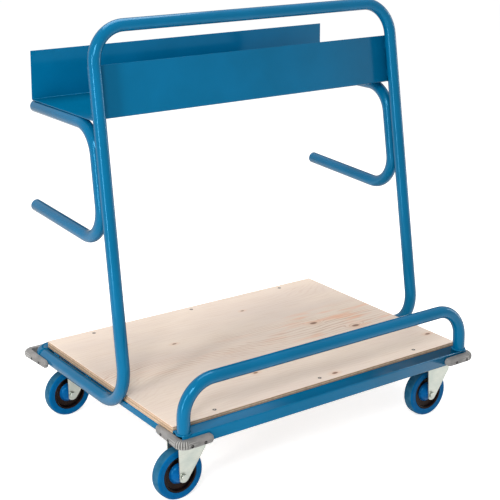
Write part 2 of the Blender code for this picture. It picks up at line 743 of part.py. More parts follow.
def main():
    clear_scene()
    paint = material("blue_paint", (0.01, 0.13, 0.33), 0.3)
    plywood = material("plywood", (0.75, 0.62, 0.45), 0.6)
    dark_steel = material("dark_steel", (0.05, 0.05, 0.05), 0.5, 0.8)
    zinc = material("zinc_plate", (0.62, 0.64, 0.60), 0.35, 0.9)
    rubber = material("grey_rubber", (0.22, 0.22, 0.22), 0.7)
    wheel_materials = {
        "tyre": material("blue_rubber", (0.0, 0.14, 0.42), 0.6),
        "wheel_centre": material("black_plastic", (0.01, 0.01, 0.012), 0.35),
        "hub": material("blue_plastic", (0.0, 0.10, 0.38), 0.35),
    }
    build_deck(plywood, dark_steel)
    build_frame(paint)
    build_hoop(paint)
    build_low_rail(paint)
    build_tray(paint)
    build_hook_arms(paint)
    build_pads(rubber)
    build_corner_plates(paint)
    build_casters(zinc, wheel_materials)
    centre_on_origin()


main()
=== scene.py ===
import json

import bmesh
import bpy
import numpy as np
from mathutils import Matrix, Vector


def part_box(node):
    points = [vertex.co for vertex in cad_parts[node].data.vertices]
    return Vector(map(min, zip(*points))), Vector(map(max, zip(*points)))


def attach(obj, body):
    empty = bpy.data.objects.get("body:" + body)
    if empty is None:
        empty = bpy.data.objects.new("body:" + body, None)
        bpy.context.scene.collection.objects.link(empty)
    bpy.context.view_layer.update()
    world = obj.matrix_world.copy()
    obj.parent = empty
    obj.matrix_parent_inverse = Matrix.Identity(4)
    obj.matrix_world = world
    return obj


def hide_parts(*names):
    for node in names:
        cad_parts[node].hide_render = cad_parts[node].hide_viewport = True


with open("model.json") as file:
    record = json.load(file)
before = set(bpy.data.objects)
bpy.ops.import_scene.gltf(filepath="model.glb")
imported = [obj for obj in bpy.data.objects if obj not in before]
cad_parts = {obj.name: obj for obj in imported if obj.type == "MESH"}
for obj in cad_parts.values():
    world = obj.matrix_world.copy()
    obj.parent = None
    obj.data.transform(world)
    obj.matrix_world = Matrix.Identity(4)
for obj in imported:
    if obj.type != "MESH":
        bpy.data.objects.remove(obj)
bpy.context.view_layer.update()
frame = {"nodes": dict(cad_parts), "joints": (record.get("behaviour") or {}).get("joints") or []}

# The deck board: softwood plywood, sanded and clear lacquered on its faces, with bare sawn edges.
# It lies on the steel bars with its face grain along the cart.
deck_low, deck_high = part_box("deck_board")
deck_middle_y = (deck_low.y + deck_high.y) / 2
deck_top = deck_high.z
BOARD_CORNER = 0.0015
BOARD_EDGE = 0.0008
FACE_VENEER = 0.0016
PLY_THICKNESS = 0.0027
BAND_Y = -0.015
BAND_HALF_WIDTH = 0.11
KNOTS = (
    (0.054, -0.314, 0.0060), (0.325, -0.078, 0.0085), (0.234, 0.008, 0.0080), (0.452, -0.251, 0.0060),
    (-0.305, 0.182, 0.0035), (-0.190, 0.110, 0.0045), (0.120, 0.215, 0.0040), (-0.120, -0.190, 0.0050),
)


def colour(red, green, blue):
    """A colour as it looks on screen, from 0 to 255, turned into the linear values of a socket."""
    screen = np.array([red, green, blue]) / 255
    linear = np.where(screen <= 0.04045, screen / 12.92, ((screen + 0.055) / 1.055) ** 2.4)
    return (*linear.tolist(), 1.0)


def add(tree, kind, inputs, **settings):
    """Adds a node, sets its settings, and gives each named input its value or its link."""
    made = tree.nodes.new(kind)
    for setting, value in settings.items():
        setattr(made, setting, value)
    for socket, value in inputs.items():
        if isinstance(value, bpy.types.NodeSocket):
            tree.links.new(value, made.inputs[socket])
        else:
            made.inputs[socket].default_value = value
    return made


def reckon(tree, operation, a, b=0.0, c=0.0):
    """One Math node; returns its result."""
    return add(tree, "ShaderNodeMath", {0: a, 1: b, 2: c}, operation=operation).outputs[0]


def noise(tree, coordinates, scale=1.0, detail=2.0):
    """The value of one Noise Texture node."""
    inputs = {"Vector": coordinates, "Scale": scale, "Detail": detail}
    return add(tree, "ShaderNodeTexNoise", inputs).outputs[0]


def split(tree, vector):
    """The three parts of a vector."""
    return add(tree, "ShaderNodeSeparateXYZ", {0: vector}).outputs


def finished(tree, shader, base, roughness, height, distance, **settings):
    """Joins colour, roughness and a bump to the shader, and sets its other sockets. The bump's height times
    its distance is in metres; an underscore in a setting's name stands for a space in the socket's."""
    tree.links.new(base, shader.inputs["Base Color"])
    tree.links.new(roughness, shader.inputs["Roughness"])
    bump = add(tree, "ShaderNodeBump", {"Height": height, "Distance": distance, "Strength": 1.0})
    tree.links.new(bump.outputs[0], shader.inputs["Normal"])
    for label, value in settings.items():
        shader.inputs[label.replace("_", " ")].default_value = value


def spread(tree, value, low, high, to_low=0.0, to_high=1.0):
    """Maps a value smoothly from low..high onto another range, clamped."""
    inputs = {0: value, 1: low, 2: high, 3: to_low, 4: to_high}
    return add(tree, "ShaderNodeMapRange", inputs, interpolation_type="SMOOTHSTEP").outputs[0]


def mix(tree, share, first, second):
    """Colour that goes from the first to the second as the share goes from 0 to 1."""
    inputs = {0: share, 6: first, 7: second}
    return add(tree, "ShaderNodeMix", inputs, data_type="RGBA").outputs[2]


def scaled(tree, coordinates, scale, shift=(0, 0, 0)):
    """Coordinates times a scale, plus a shift."""
    inputs = {"Vector": coordinates, "Scale": scale, "Location": shift}
    return add(tree, "ShaderNodeMapping", inputs).outputs[0]


def new_finish(name):
    """A material with its node tree, Principled shader and object coordinates."""
    finish = bpy.data.materials.new(name + "_finish")
    finish.use_nodes = True
    tree = finish.node_tree
    place = tree.nodes.new("ShaderNodeTexCoord").outputs["Object"]
    return finish, tree, tree.nodes["Principled BSDF"], place


def new_group(name, inputs, outputs):
    """An empty shader node group; the inputs come as (name, type, value). Returns it with both ends."""
    group = bpy.data.node_groups.new(name, "ShaderNodeTree")
    for label, kind, value in inputs:
        socket = group.interface.new_socket(label, in_out="INPUT", socket_type="NodeSocket" + kind)
        if value is not None:
            socket.default_value = value
    for label, kind in outputs:
        group.interface.new_socket(label, in_out="OUTPUT", socket_type="NodeSocket" + kind)
    return group, group.nodes.new("NodeGroupInput"), group.nodes.new("NodeGroupOutput")


def mottle_group():
    """Soft clouds: noise of a given scale, spread between two values, with finer noise for a bump."""
    inputs = [("Vector", "Vector", None), ("Scale", "Float", 8.0), ("Low", "Float", 0.0), ("High", "Float", 1.0)]
    group, start, end = new_group("mottle", inputs, [("Value", "Float"), ("Height", "Float")])
    cloud = noise(group, start.outputs["Vector"], start.outputs["Scale"], 3.0)
    value = spread(group, cloud, 0.3, 0.7, start.outputs["Low"], start.outputs["High"])
    fine_scale = reckon(group, "MULTIPLY", start.outputs["Scale"], 22.0)
    group.links.new(value, end.inputs["Value"])
    group.links.new(noise(group, start.outputs["Vector"], fine_scale), end.inputs["Height"])
    return group


mottle = mottle_group()


def mottled(tree, place, scale, low, high):
    """Places the soft clouds in a material; returns their value and their fine height."""
    inputs = {"Vector": place, "Scale": scale, "Low": low, "High": high}
    made = add(tree, "ShaderNodeGroup", inputs, node_tree=mottle)
    return made.outputs["Value"], made.outputs["Height"]


def knot_group():
    """One knot: a dark core and a wider halo, from an ellipse twice as long along the grain."""
    inputs = [("Vector", "Vector", None), ("Centre", "Vector", (0.0, 0.0, 0.0)), ("Radius", "Float", 0.01)]
    group, start, end = new_group("knot", inputs, [("Core", "Float"), ("Halo", "Float")])
    vectors = {0: start.outputs["Vector"], 1: start.outputs["Centre"]}
    away = add(group, "ShaderNodeVectorMath", vectors, operation="SUBTRACT").outputs[0]
    flat = add(group, "ShaderNodeVectorMath", {0: away, 1: (0.55, 1.0, 0.0)}, operation="MULTIPLY").outputs[0]
    distance = add(group, "ShaderNodeVectorMath", {0: flat}, operation="LENGTH").outputs["Value"]
    radii = reckon(group, "DIVIDE", distance, start.outputs["Radius"])
    group.links.new(spread(group, radii, 1.1, 0.5), end.inputs["Core"])
    group.links.new(spread(group, radii, 3.0, 0.6), end.inputs["Halo"])
    return group


def veneer_colour(tree, place):
    """Face veneer: growth lines where the way across the board plus a slow noise crosses even steps, bent
    round the knots. The lines are strong in one band along the board and faint elsewhere, and orange streaks
    lie in the band past the board's middle."""
    knot = knot_group()
    cores, halos = 0.0, 0.0
    along, across, _ = split(tree, place)
    for x, y, radius in KNOTS:
        inputs = {"Vector": place, "Centre": (x, y + deck_middle_y, deck_top), "Radius": radius}
        made = add(tree, "ShaderNodeGroup", inputs, node_tree=knot)
        cores = reckon(tree, "MAXIMUM", made.outputs["Core"], cores)
        halos = reckon(tree, "MAXIMUM", made.outputs["Halo"], halos)
    field = noise(tree, scaled(tree, place, (1.1, 2.6, 0.0), (3.1, 1.7, 0.0)), detail=1.0)
    field = reckon(tree, "MULTIPLY_ADD", noise(tree, scaled(tree, place, (6.0, 36.0, 0.0))), 0.05, field)
    field = reckon(tree, "MULTIPLY_ADD", halos, 0.06, field)
    field = reckon(tree, "MULTIPLY_ADD", across, 2.4, field)
    late = spread(tree, reckon(tree, "SINE", reckon(tree, "MULTIPLY", field, 230.0)), 0.1, 1.0)
    sway, _ = mottled(tree, scaled(tree, place, (2.0, 2.0, 0.0)), 1.0, -0.05, 0.05)
    from_band = reckon(tree, "ABSOLUTE", reckon(tree, "ADD", reckon(tree, "SUBTRACT", across, BAND_Y), sway))
    band = spread(tree, from_band, BAND_HALF_WIDTH, BAND_HALF_WIDTH * 0.3)
    figure, _ = mottled(tree, scaled(tree, place, (3.4, 16.0, 0.0), (0.4, 0.0, 0.0)), 1.0, 0.0, 1.0)
    fibre = noise(tree, scaled(tree, place, (9.0, 420.0, 0.0)), detail=3.0)
    warm, _ = mottled(tree, scaled(tree, place, (2.2, 7.0, 0.0), (5.0, 2.0, 0.0)), 1.0, 0.0, 1.0)
    base = mix(tree, warm, colour(228, 209, 194), colour(238, 219, 201))
    strength = reckon(tree, "MULTIPLY", figure, reckon(tree, "MULTIPLY_ADD", band, 0.5, 0.14))
    base = mix(tree, reckon(tree, "MULTIPLY", late, strength), base, colour(188, 140, 108))
    resin = spread(tree, noise(tree, scaled(tree, place, (7.0, 34.0, 0.0), (1.0, 4.0, 0.0))), 0.48, 0.72)
    past_middle = spread(tree, along, 0.0, 0.3, 0.15, 0.8)
    streaks = reckon(tree, "MULTIPLY", reckon(tree, "MULTIPLY", resin, past_middle), band)
    base = mix(tree, streaks, base, colour(236, 178, 142))
    base = mix(tree, spread(tree, fibre, 0.50, 0.75, 0.0, 0.42), base, colour(205, 176, 150))
    base = mix(tree, reckon(tree, "MULTIPLY", halos, 0.35), base, colour(222, 172, 134))
    base = mix(tree, cores, base, colour(132, 92, 66))
    return base, fibre, late


def plywood_finish():
    """Plywood: the face veneer on top and below, and crossed plies with open grain along the edges."""
    finish, tree, shader, place = new_finish("plywood")
    face, fibre, late = veneer_colour(tree, place)
    middle_z = (deck_low.z + deck_high.z) / 2
    from_middle = reckon(tree, "ABSOLUTE", reckon(tree, "SUBTRACT", split(tree, place)[2], middle_z))
    half = (deck_high.z - deck_low.z) / 2
    is_edge = spread(tree, from_middle, half - FACE_VENEER * 0.4, half - FACE_VENEER)
    glue = spread(tree, from_middle, half - FACE_VENEER * 1.6, half - FACE_VENEER, 0.0, 0.7)
    ply = reckon(tree, "SINE", reckon(tree, "MULTIPLY", from_middle, 3.1416 / PLY_THICKNESS))
    crossed = spread(tree, ply, -0.25, 0.25)
    sawn = noise(tree, scaled(tree, place, (160.0, 160.0, 60.0)), detail=3.0)
    plies = mix(tree, crossed, colour(216, 190, 160), colour(176, 146, 118))
    plies = mix(tree, spread(tree, sawn, 0.35, 0.75, 0.0, 0.5), plies, colour(146, 120, 98))
    plies = mix(tree, glue, plies, colour(206, 150, 104))
    rough, fine = mottled(tree, place, 9.0, 0.5, 0.66)
    height = reckon(tree, "ADD", reckon(tree, "MULTIPLY", fibre, 0.7), reckon(tree, "MULTIPLY", late, 0.25))
    height = reckon(tree, "MULTIPLY_ADD", reckon(tree, "MULTIPLY", sawn, is_edge), 1.5, height)
    height = reckon(tree, "MULTIPLY_ADD", fine, 0.2, height)
    finished(tree, shader, mix(tree, is_edge, face, plies), rough, height, 0.00016, Specular_IOR_Level=0.35,
             Coat_Weight=0.06, Coat_Roughness=0.35)
    return finish


def rounded_rectangle(width, depth, corner, steps=5):
    """Outline of a rectangle with round corners about its middle; the corners' radii may differ.
    Each corner is an arc about (width / 2 - radius, depth / 2 - radius), turned by quarters, with one more
    point just past each end of the arc, so that the flat sides stay flat when they are shaded smooth."""
    points = []
    radii = np.broadcast_to(corner, 4)
    for turn, (sign_a, sign_b) in enumerate(((1, 1), (-1, 1), (-1, -1), (1, -1))):
        angle = np.linspace(0, np.pi / 2, steps + 1) + turn * np.pi / 2
        ray = np.stack([np.cos(angle), np.sin(angle)], 1)
        radius = radii[turn]
        arc = np.array([sign_a * (width / 2 - radius), sign_b * (depth / 2 - radius)]) + radius * ray
        along = np.stack([-np.sin(angle), np.cos(angle)], 1) * radius * 0.2
        points += [arc[:1] - along[:1], arc, arc[-1:] + along[-1:]]
    return np.vstack(points)


def grid_mesh(name, grid, close_rows=False, close_columns=True, sharp=50.0):
    """Mesh of quads between neighbouring points of a grid of rows and columns, which may close on
    themselves. Points that meet, as at a pole, are merged, and edges sharper than an angle stay sharp."""
    rows, columns = grid.shape[:2]
    index = np.arange(rows * columns).reshape(rows, columns)
    if close_rows:
        index = np.vstack([index, index[:1]])
    if close_columns:
        index = np.hstack([index, index[:, :1]])
    quads = np.stack([index[:-1, :-1], index[:-1, 1:], index[1:, 1:], index[1:, :-1]], -1).reshape(-1, 4)
    mesh = bpy.data.meshes.new(name)
    mesh.from_pydata(grid.reshape(-1, 3).tolist(), [], quads.tolist())
    shape = bmesh.new()
    shape.from_mesh(mesh)
    bmesh.ops.remove_doubles(shape, verts=shape.verts, dist=1e-6)
    bmesh.ops.recalc_face_normals(shape, faces=shape.faces)
    shape.to_mesh(mesh)
    shape.free()
    mesh.shade_smooth()
    mesh.set_sharp_from_angle(angle=np.radians(sharp))
    return mesh


def put(name, mesh, finish, body, *replaced):
    """Puts a finished mesh on its body, with its finish and the CAD nodes that it stands for."""
    mesh.materials.append(finish)
    piece = bpy.data.objects.new(name, mesh)
    bpy.context.scene.collection.objects.link(piece)
    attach(piece, body)
    if replaced:
        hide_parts(*replaced)
    return piece


def laid_outline(outline, axis, level, middle):
    """A flat outline about a middle, laid square to an axis at a level."""
    row = np.empty((len(outline), 3))
    row[:, [(axis + 1) % 3, (axis + 2) % 3]] = middle[[(axis + 1) % 3, (axis + 2) % 3]] + outline
    row[:, axis] = level
    return row


def slab_grid(low, high, corner, edge, axis=2, steps=3):
    """A flat plate: a rounded rectangle carried through the thickness along one axis.
    Near each face the outline is drawn in along a quarter circle, and it closes at the middle."""
    first, second = (axis + 1) % 3, (axis + 2) % 3
    size = np.array(high) - np.array(low)
    middle = (np.array(high) + np.array(low)) / 2
    angle = np.linspace(0, np.pi / 2, steps + 1)
    inset = np.concatenate([[None, 1.6 * edge], edge * (1 - np.sin(angle))])
    depth = np.concatenate([[0.0, 0.0], edge * (1 - np.cos(angle))])
    rows = []
    for inward, down in zip(inset, depth):
        if inward is None:
            outline = np.zeros((len(rounded_rectangle(1, 1, 0.1)), 2))
        else:
            round_by = max(corner - inward, corner * 0.2)
            outline = rounded_rectangle(size[first] - 2 * inward, size[second] - 2 * inward, round_by)
        rows.append(laid_outline(outline, axis, low[axis] + down, middle))
    top = []
    for row in rows[::-1]:
        mirrored = row.copy()
        mirrored[:, axis] = 2 * middle[axis] - row[:, axis]
        top.append(mirrored)
    return np.array(rows + top)


plywood = plywood_finish()
board = grid_mesh("board", slab_grid(deck_low, deck_high, BOARD_CORNER, BOARD_EDGE))
put("board", board, plywood, "cart", "deck_board")


# The six countersunk screws that hold the board: blackened steel with a cross slot in each head.
# Their heads lie flush with the wood.
SCREW_STEPS = 48
SCREW_HEAD = 0.0052
SCREW_SHANK = 0.0022
SCREW_PROUD = 0.0002
SCREW_SLOT = 0.0026
SCREW_SLOT_HALF_WIDTH = 0.0007
SCREW_SLOT_WALL = 0.0003
SCREW_SLOT_END = 0.0004
SCREW_SLOT_DEPTH = 0.0012


def dark_steel_finish():
    """Blackened screw steel: dark, half glossy, with small bright rubs."""
    finish, tree, shader, place = new_finish("dark_steel")
    rub, fine = mottled(tree, place, 420.0, 0.0, 0.5)
    base = mix(tree, rub, colour(24, 22, 22), colour(62, 58, 56))
    finished(tree, shader, base, spread(tree, fine, 0.2, 0.8, 0.32, 0.55), fine, 0.00003, Metallic=0.6)
    return finish


def turned(profile, count):
    """Spins (radius, height) points about Z: ring j is the profile turned by 2 pi j / count."""
    profile = np.array(profile, float)
    angle = np.linspace(0, 2 * np.pi, count, endpoint=False)
    ring = np.stack([np.cos(angle), np.sin(angle)], -1)
    flat = profile[:, 0, None, None] * ring[None]
    height = np.broadcast_to(profile[:, 1, None, None], (len(profile), count, 1))
    return np.concatenate([flat, height], -1)


def screw_grid(top, head, shank, length):
    """A screw head with a dished cross slot: points near the two slot lines sink by the slot's depth."""
    rim = [(0, 0), (0.08, 0), (0.16, 0), (0.26, 0), (0.36, 0), (0.46, 0), (0.56, 0), (0.7, 0), (0.92, 0), (1, -0.04)]
    profile = [(radius * head, height * head) for radius, height in rim]
    profile += [(shank, shank - head), (shank, -length), (0, -length)]
    grid = turned(profile, SCREW_STEPS)
    across = np.minimum(np.abs(grid[..., 0]), np.abs(grid[..., 1]))
    reach = np.hypot(grid[..., 0], grid[..., 1])
    sunk = np.clip((SCREW_SLOT_HALF_WIDTH - across) / SCREW_SLOT_WALL, 0, 1)
    sunk *= np.clip((SCREW_SLOT - reach) / SCREW_SLOT_END, 0, 1)
    in_face = np.zeros(grid.shape[:2])
    in_face[:9] = 1
    grid[..., 2] -= sunk * in_face * SCREW_SLOT_DEPTH * (1 - 0.6 * reach / SCREW_SLOT)
    grid[..., 2] += top
    return grid


dark_steel = dark_steel_finish()
for node in sorted(frame["nodes"]):
    if node.startswith("deck_screw"):
        low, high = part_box(node)
        grid = screw_grid(deck_top + SCREW_PROUD, SCREW_HEAD, SCREW_SHANK, deck_top - low.z)
        grid[..., 0] += (low.x + high.x) / 2
        grid[..., 1] += (low.y + high.y) / 2
        put(node.replace("deck_", "board_"), grid_mesh(node, grid), dark_steel, "cart", node)


# The frame under the board: rectangular steel tubes, cut square, welded and powder coated blue.
# The wider bar in front of the board is the ledge that the low rail stands on.
BAR_WALL = 0.0020
BAR_CORNER = 0.0030


def blue_paint_finish():
    """Powder coat: an even blue, with painted shade that darkens it where it is seen edge on, where it is also less
    shiny, dulled by dust on level faces, with slow changes of tone and gloss and a fine orange-peel skin."""
    finish, tree, shader, place = new_finish("blue_paint")
    tone, _ = mottled(tree, place, 6.0, 0.0, 1.0)
    base = mix(tree, tone, colour(0, 92, 131), colour(2, 98, 140))
    facing = add(tree, "ShaderNodeLayerWeight", {"Blend": 0.5}).outputs["Facing"]
    # painted shade: the base colour darkens towards (0, 66, 92) where the surface is seen edge on, standing in for
    # the dark rims of the tubes
    base = mix(tree, spread(tree, facing, 0.5, 0.95, 0.0, 0.75), base, colour(0, 66, 92))
    gloss, _ = mottled(tree, scaled(tree, place, (1.0, 1.0, 1.0), (2.0, 5.0, 1.0)), 14.0, 0.12, 0.17)
    skin = noise(tree, place, 420.0, 1.0)
    finished(tree, shader, base, gloss, skin, 0.00002, Specular_Tint=colour(118, 212, 255))
    shine = spread(tree, facing, 0.35, 0.8, 0.42, 0.04)
    upward = split(tree, tree.nodes.new("ShaderNodeNewGeometry").outputs["Normal"])[2]
    shine = reckon(tree, "MULTIPLY", shine, spread(tree, upward, 0.97, 0.995, 1.0, 0.02))
    tree.links.new(shine, shader.inputs["Specular IOR Level"])
    return finish


def bar_grid(low, high, axis, corner, wall):
    """A rectangular tube: its outer outline carried from end to end and its inner one back again."""
    first, second = (axis + 1) % 3, (axis + 2) % 3
    size = np.array(high) - np.array(low)
    middle = (np.array(high) + np.array(low)) / 2
    lip = wall / 5
    stations = [
        (lip, low[axis]), (0, low[axis] + lip), (0, high[axis] - lip), (lip, high[axis]),
        (wall, high[axis]), (wall, low[axis]),
    ]
    rows = []
    for inset, along in stations:
        outline = rounded_rectangle(size[first] - 2 * inset, size[second] - 2 * inset, corner - inset)
        rows.append(laid_outline(outline, axis, along, middle))
    return np.array(rows)


blue_paint = blue_paint_finish()
bars = {
    "frame_side_left": 1, "frame_side_right": 1, "frame_cross_front": 0, "frame_cross_middle": 0,
    "frame_cross_rear": 0, "frame_front_ledge": 0,
}
for node, axis in bars.items():
    low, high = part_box(node)
    mesh = grid_mesh(node, bar_grid(low, high, axis, BAR_CORNER, BAR_WALL), close_rows=True)
    put(node.replace("frame_", "bar_"), mesh, blue_paint, "cart", node)


# The corner plates under the frame: flat steel welded to the bars, painted with them.
# Each carries one caster on four bolts.
PLATE_CORNER = 0.006
PLATE_EDGE = 0.0008
for node in sorted(frame["nodes"]):
    if node.startswith("corner_plate"):
        mesh = grid_mesh(node, slab_grid(*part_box(node), PLATE_CORNER, PLATE_EDGE))
        put(node.replace("corner_plate", "plate"), mesh, blue_paint, "cart", node)


# The hoop: one round steel tube bent four times, leaning back over the deck, painted blue. Its feet lie
# along the side bars and run on into the rear bar, a second bent tube with a weld round each joint.
TUBE_RADIUS = 0.017
TUBE_COUNT = 48
END_ROUNDING = 0.0012
HOOP_LEAN = np.radians(8.62)
HOOP_STAND = 0.144
HOOP_TOP_BEND = 0.092
HOOP_FOOT_BEND = 0.105
REAR_CORNER_BEND = 0.034
WELD_RADIUS = 0.0026
WELD_RIPPLE = 0.0032
WELD_SWELL_SHARE = 0.16
SIDE_WELD_SHARES = (0.1, 0.5, 0.9)
SIDE_WELD_HALF_LENGTH = 0.016
SIDE_WELD_RISE = 0.0105
SIDE_WELD_STAND = 0.0016
hoop_low, hoop_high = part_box("hoop")
hoop_x = hoop_high.x - TUBE_RADIUS
hoop_top = hoop_high.z - TUBE_RADIUS
foot_z = hoop_low.z + TUBE_RADIUS
foot_end = hoop_high.y
rear_bar_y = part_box("rear_bar")[1].y - TUBE_RADIUS


def upright_y(height, behind=0.0):
    """Y of the hoop's leaning plane at a height, moved square to the plane by a distance."""
    level = deck_middle_y - HOOP_STAND + (height - deck_top) * np.tan(HOOP_LEAN)
    return level + behind / np.cos(HOOP_LEAN)


def bent_line(stops, radii, steps=16):
    """Centre line of a tube bent at its inner stops.
    A bend of radius r starts r * tan(turn / 2) before its stop. Inside it the point at angle a is
    start + r * (sin(a) * arriving + (1 - cos(a)) * inward), and the line's direction there is
    cos(a) * arriving + sin(a) * inward."""
    stops = np.array(stops, float)
    ways = np.diff(stops, axis=0)
    ways /= np.linalg.norm(ways, axis=1)[:, None]
    points, directions = [stops[:1]], [ways[:1]]
    for stop, arriving, leaving, radius in zip(stops[1:-1], ways, ways[1:], radii):
        turn = np.arccos(arriving @ leaving)
        inward = (leaving - arriving * np.cos(turn)) / np.sin(turn)
        angle = np.linspace(0, turn, steps + 1)[:, None]
        start = stop - arriving * radius * np.tan(turn / 2)
        points.append(start + radius * (np.sin(angle) * arriving + (1 - np.cos(angle)) * inward))
        directions.append(np.cos(angle) * arriving + np.sin(angle) * inward)
    points.append(stops[-1:])
    directions.append(ways[-1:])
    return np.vstack(points), np.vstack(directions)


def tube_grid(points, directions, radii, count=TUBE_COUNT):
    """Round section carried along a centre line.
    The side vector of a station is the one before it, less its part along the line; point j of ring i
    is centre i + radius i * (cos(a) * side i + sin(a) * across i) at angle a = 2 pi j / count."""
    start = directions[0]
    side = np.cross(start, np.eye(3)[np.argmin(np.abs(start))])
    sides = []
    for direction in directions:
        side = side - direction * (side @ direction)
        side = side / np.linalg.norm(side)
        sides.append(side)
    sides = np.array(sides)
    across = np.cross(directions, sides)
    angle = np.linspace(0, 2 * np.pi, count, endpoint=False)[None, :, None]
    ring = np.cos(angle) * sides[:, None] + np.sin(angle) * across[:, None]
    return points[:, None] + np.broadcast_to(radii, len(points))[:, None, None] * ring


def capped_tube(points, directions, radius, rounding, steps=4, count=TUBE_COUNT):
    """A tube with flat closed ends and rounded rims: at a distance r * (1 - cos(a)) from an end, the
    section's radius is short of the full one by r * (1 - sin(a))."""
    angle = np.linspace(0, np.pi / 2, steps + 1)
    depth = np.concatenate([[0, 0], rounding * (1 - np.cos(angle))])
    short = np.concatenate([[radius, 1.5 * rounding], rounding * (1 - np.sin(angle))])
    first = points[0] + directions[0] * depth[:, None]
    last = points[-1] - directions[-1] * depth[::-1, None]
    line = np.vstack([first, points[1:-1], last])
    ways = np.vstack([np.repeat(directions[:1], len(depth), 0), directions[1:-1],
                      np.repeat(directions[-1:], len(depth), 0)])
    full = np.full(len(points) - 2, radius)
    return tube_grid(line, ways, np.concatenate([radius - short, full, radius - short[::-1]]), count)


def weld_mesh(name, points, directions, radius=WELD_RADIUS, closed=False):
    """A weld bead along a line: a thin tube whose radius swells by a sixth at each ripple."""
    steps = np.linalg.norm(np.diff(points, axis=0), axis=1)
    along = np.concatenate([[0], np.cumsum(steps)])
    swell = 1 + WELD_SWELL_SHARE * np.sin(2 * np.pi * along / WELD_RIPPLE)
    if closed:
        return grid_mesh(name, tube_grid(points[:-1], directions[:-1], radius * swell[:-1], 10), close_rows=True)
    taper = np.clip(np.minimum(along, along[-1] - along) / radius, 0, 1) ** 0.5
    return grid_mesh(name, tube_grid(points, directions, radius * swell * taper, 10))


def straight(start, end, pitch=0.0008):
    """Evenly spaced points on a straight line, with its direction at each."""
    start, end = np.array(start, float), np.array(end, float)
    length = np.linalg.norm(end - start)
    share = np.linspace(0, 1, int(length / pitch) + 2)[:, None]
    return start + share * (end - start), np.repeat([(end - start) / length], len(share), 0)


def circle(centre, radius, first, second, count=160):
    """Points on a circle spanned by two unit vectors, with the direction at each; it ends where it starts."""
    angle = np.linspace(0, 2 * np.pi, count + 1)[:, None]
    first, second = np.array(first, float), np.array(second, float)
    points = np.array(centre) + radius * (np.cos(angle) * first + np.sin(angle) * second)
    return points, np.cos(angle) * second - np.sin(angle) * first


hoop_stops = [
    (-hoop_x, foot_end, foot_z), (-hoop_x, upright_y(foot_z), foot_z), (-hoop_x, upright_y(hoop_top), hoop_top),
    (hoop_x, upright_y(hoop_top), hoop_top), (hoop_x, upright_y(foot_z), foot_z), (hoop_x, foot_end, foot_z),
]
hoop_bends = (HOOP_FOOT_BEND, HOOP_TOP_BEND, HOOP_TOP_BEND, HOOP_FOOT_BEND)
hoop = capped_tube(*bent_line(hoop_stops, hoop_bends), TUBE_RADIUS, END_ROUNDING)
put("hoop_tube", grid_mesh("hoop_tube", hoop), blue_paint, "cart", "hoop")
rear_stops = [(-hoop_x, foot_end, foot_z), (-hoop_x, rear_bar_y, foot_z), (hoop_x, rear_bar_y, foot_z),
              (hoop_x, foot_end, foot_z)]
rear_tube = capped_tube(*bent_line(rear_stops, (REAR_CORNER_BEND,) * 2), TUBE_RADIUS, END_ROUNDING)
put("rear_tube", grid_mesh("rear_tube", rear_tube), blue_paint, "cart", "rear_bar")
for side, name in ((-1, "left"), (1, "right")):
    ring = circle((side * hoop_x, foot_end, foot_z), TUBE_RADIUS, (1, 0, 0), (0, 0, 1))
    put(f"foot_weld_{name}", weld_mesh("foot_weld", *ring, closed=True), blue_paint, "cart")
    for number, share in enumerate(SIDE_WELD_SHARES):
        middle = (1 - share) * upright_y(foot_z) + share * foot_end
        ends = [(side * (deck_high.x + SIDE_WELD_STAND), y, foot_z + SIDE_WELD_RISE)
                for y in (middle - SIDE_WELD_HALF_LENGTH, middle + SIDE_WELD_HALF_LENGTH)]
        put(f"side_weld_{name}_{number}", weld_mesh("side_weld", *straight(*ends)), blue_paint, "cart")


# The low rail: the same tube bent twice and welded upright on the ledge, in front of the board.
LOW_RAIL_BEND = 0.085
RAIL_WELD_RISE = 0.0006
rail_low, rail_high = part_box("low_rail")
rail_x = rail_high.x - TUBE_RADIUS
rail_y = (rail_low.y + rail_high.y) / 2
rail_top = rail_high.z - TUBE_RADIUS
rail_stops = [(-rail_x, rail_y, rail_low.z), (-rail_x, rail_y, rail_top), (rail_x, rail_y, rail_top),
              (rail_x, rail_y, rail_low.z)]
rail = capped_tube(*bent_line(rail_stops, (LOW_RAIL_BEND,) * 2), TUBE_RADIUS, END_ROUNDING)
put("rail_tube", grid_mesh("rail_tube", rail), blue_paint, "cart", "low_rail")
for side, name in ((-1, "left"), (1, "right")):
    ring = circle((side * rail_x, rail_y, rail_low.z + RAIL_WELD_RISE), TUBE_RADIUS, (1, 0, 0), (0, 1, 0))
    put(f"rail_weld_{name}", weld_mesh("rail_weld", *ring, closed=True), blue_paint, "cart")


# The tray: 2 mm steel sheet folded twice, open at both ends, painted blue. Its front flange lies
# against the back of the hoop's uprights and is welded to them.
TRAY_SHEET = 0.0020
TRAY_FOLD = 0.0030
FOLD_EASE = 0.0006
RIM_WIDTH = 0.0004
SEAT_GAP = 0.0003
TRAY_WELD_SHARES = {"low": 0.12, "high": 0.72}
TRAY_WELD_LENGTH = 0.022
TRAY_WELD_INSET = 0.0075
TRAY_WELD_SINK = 0.0016
tray_low, tray_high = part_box("tray")
tray_behind = TUBE_RADIUS + SEAT_GAP


def folded_sheet_grid(stops, radii, start, end):
    """Middle surface of a folded sheet: a bent line across the tray carried straight along X."""
    points, directions = bent_line(stops, radii, 6)
    before = points[1:-1] - FOLD_EASE * directions[1:-1]
    after = points[1:-1] + FOLD_EASE * directions[1:-1]
    flat_ends = np.vstack([points[:1], before[:1], points[1:8], after[6:7], before[7:8], points[8:15], after[-1:],
                           points[-1:]])
    return np.array([flat_ends + (along, 0, 0) for along in (start, end)])


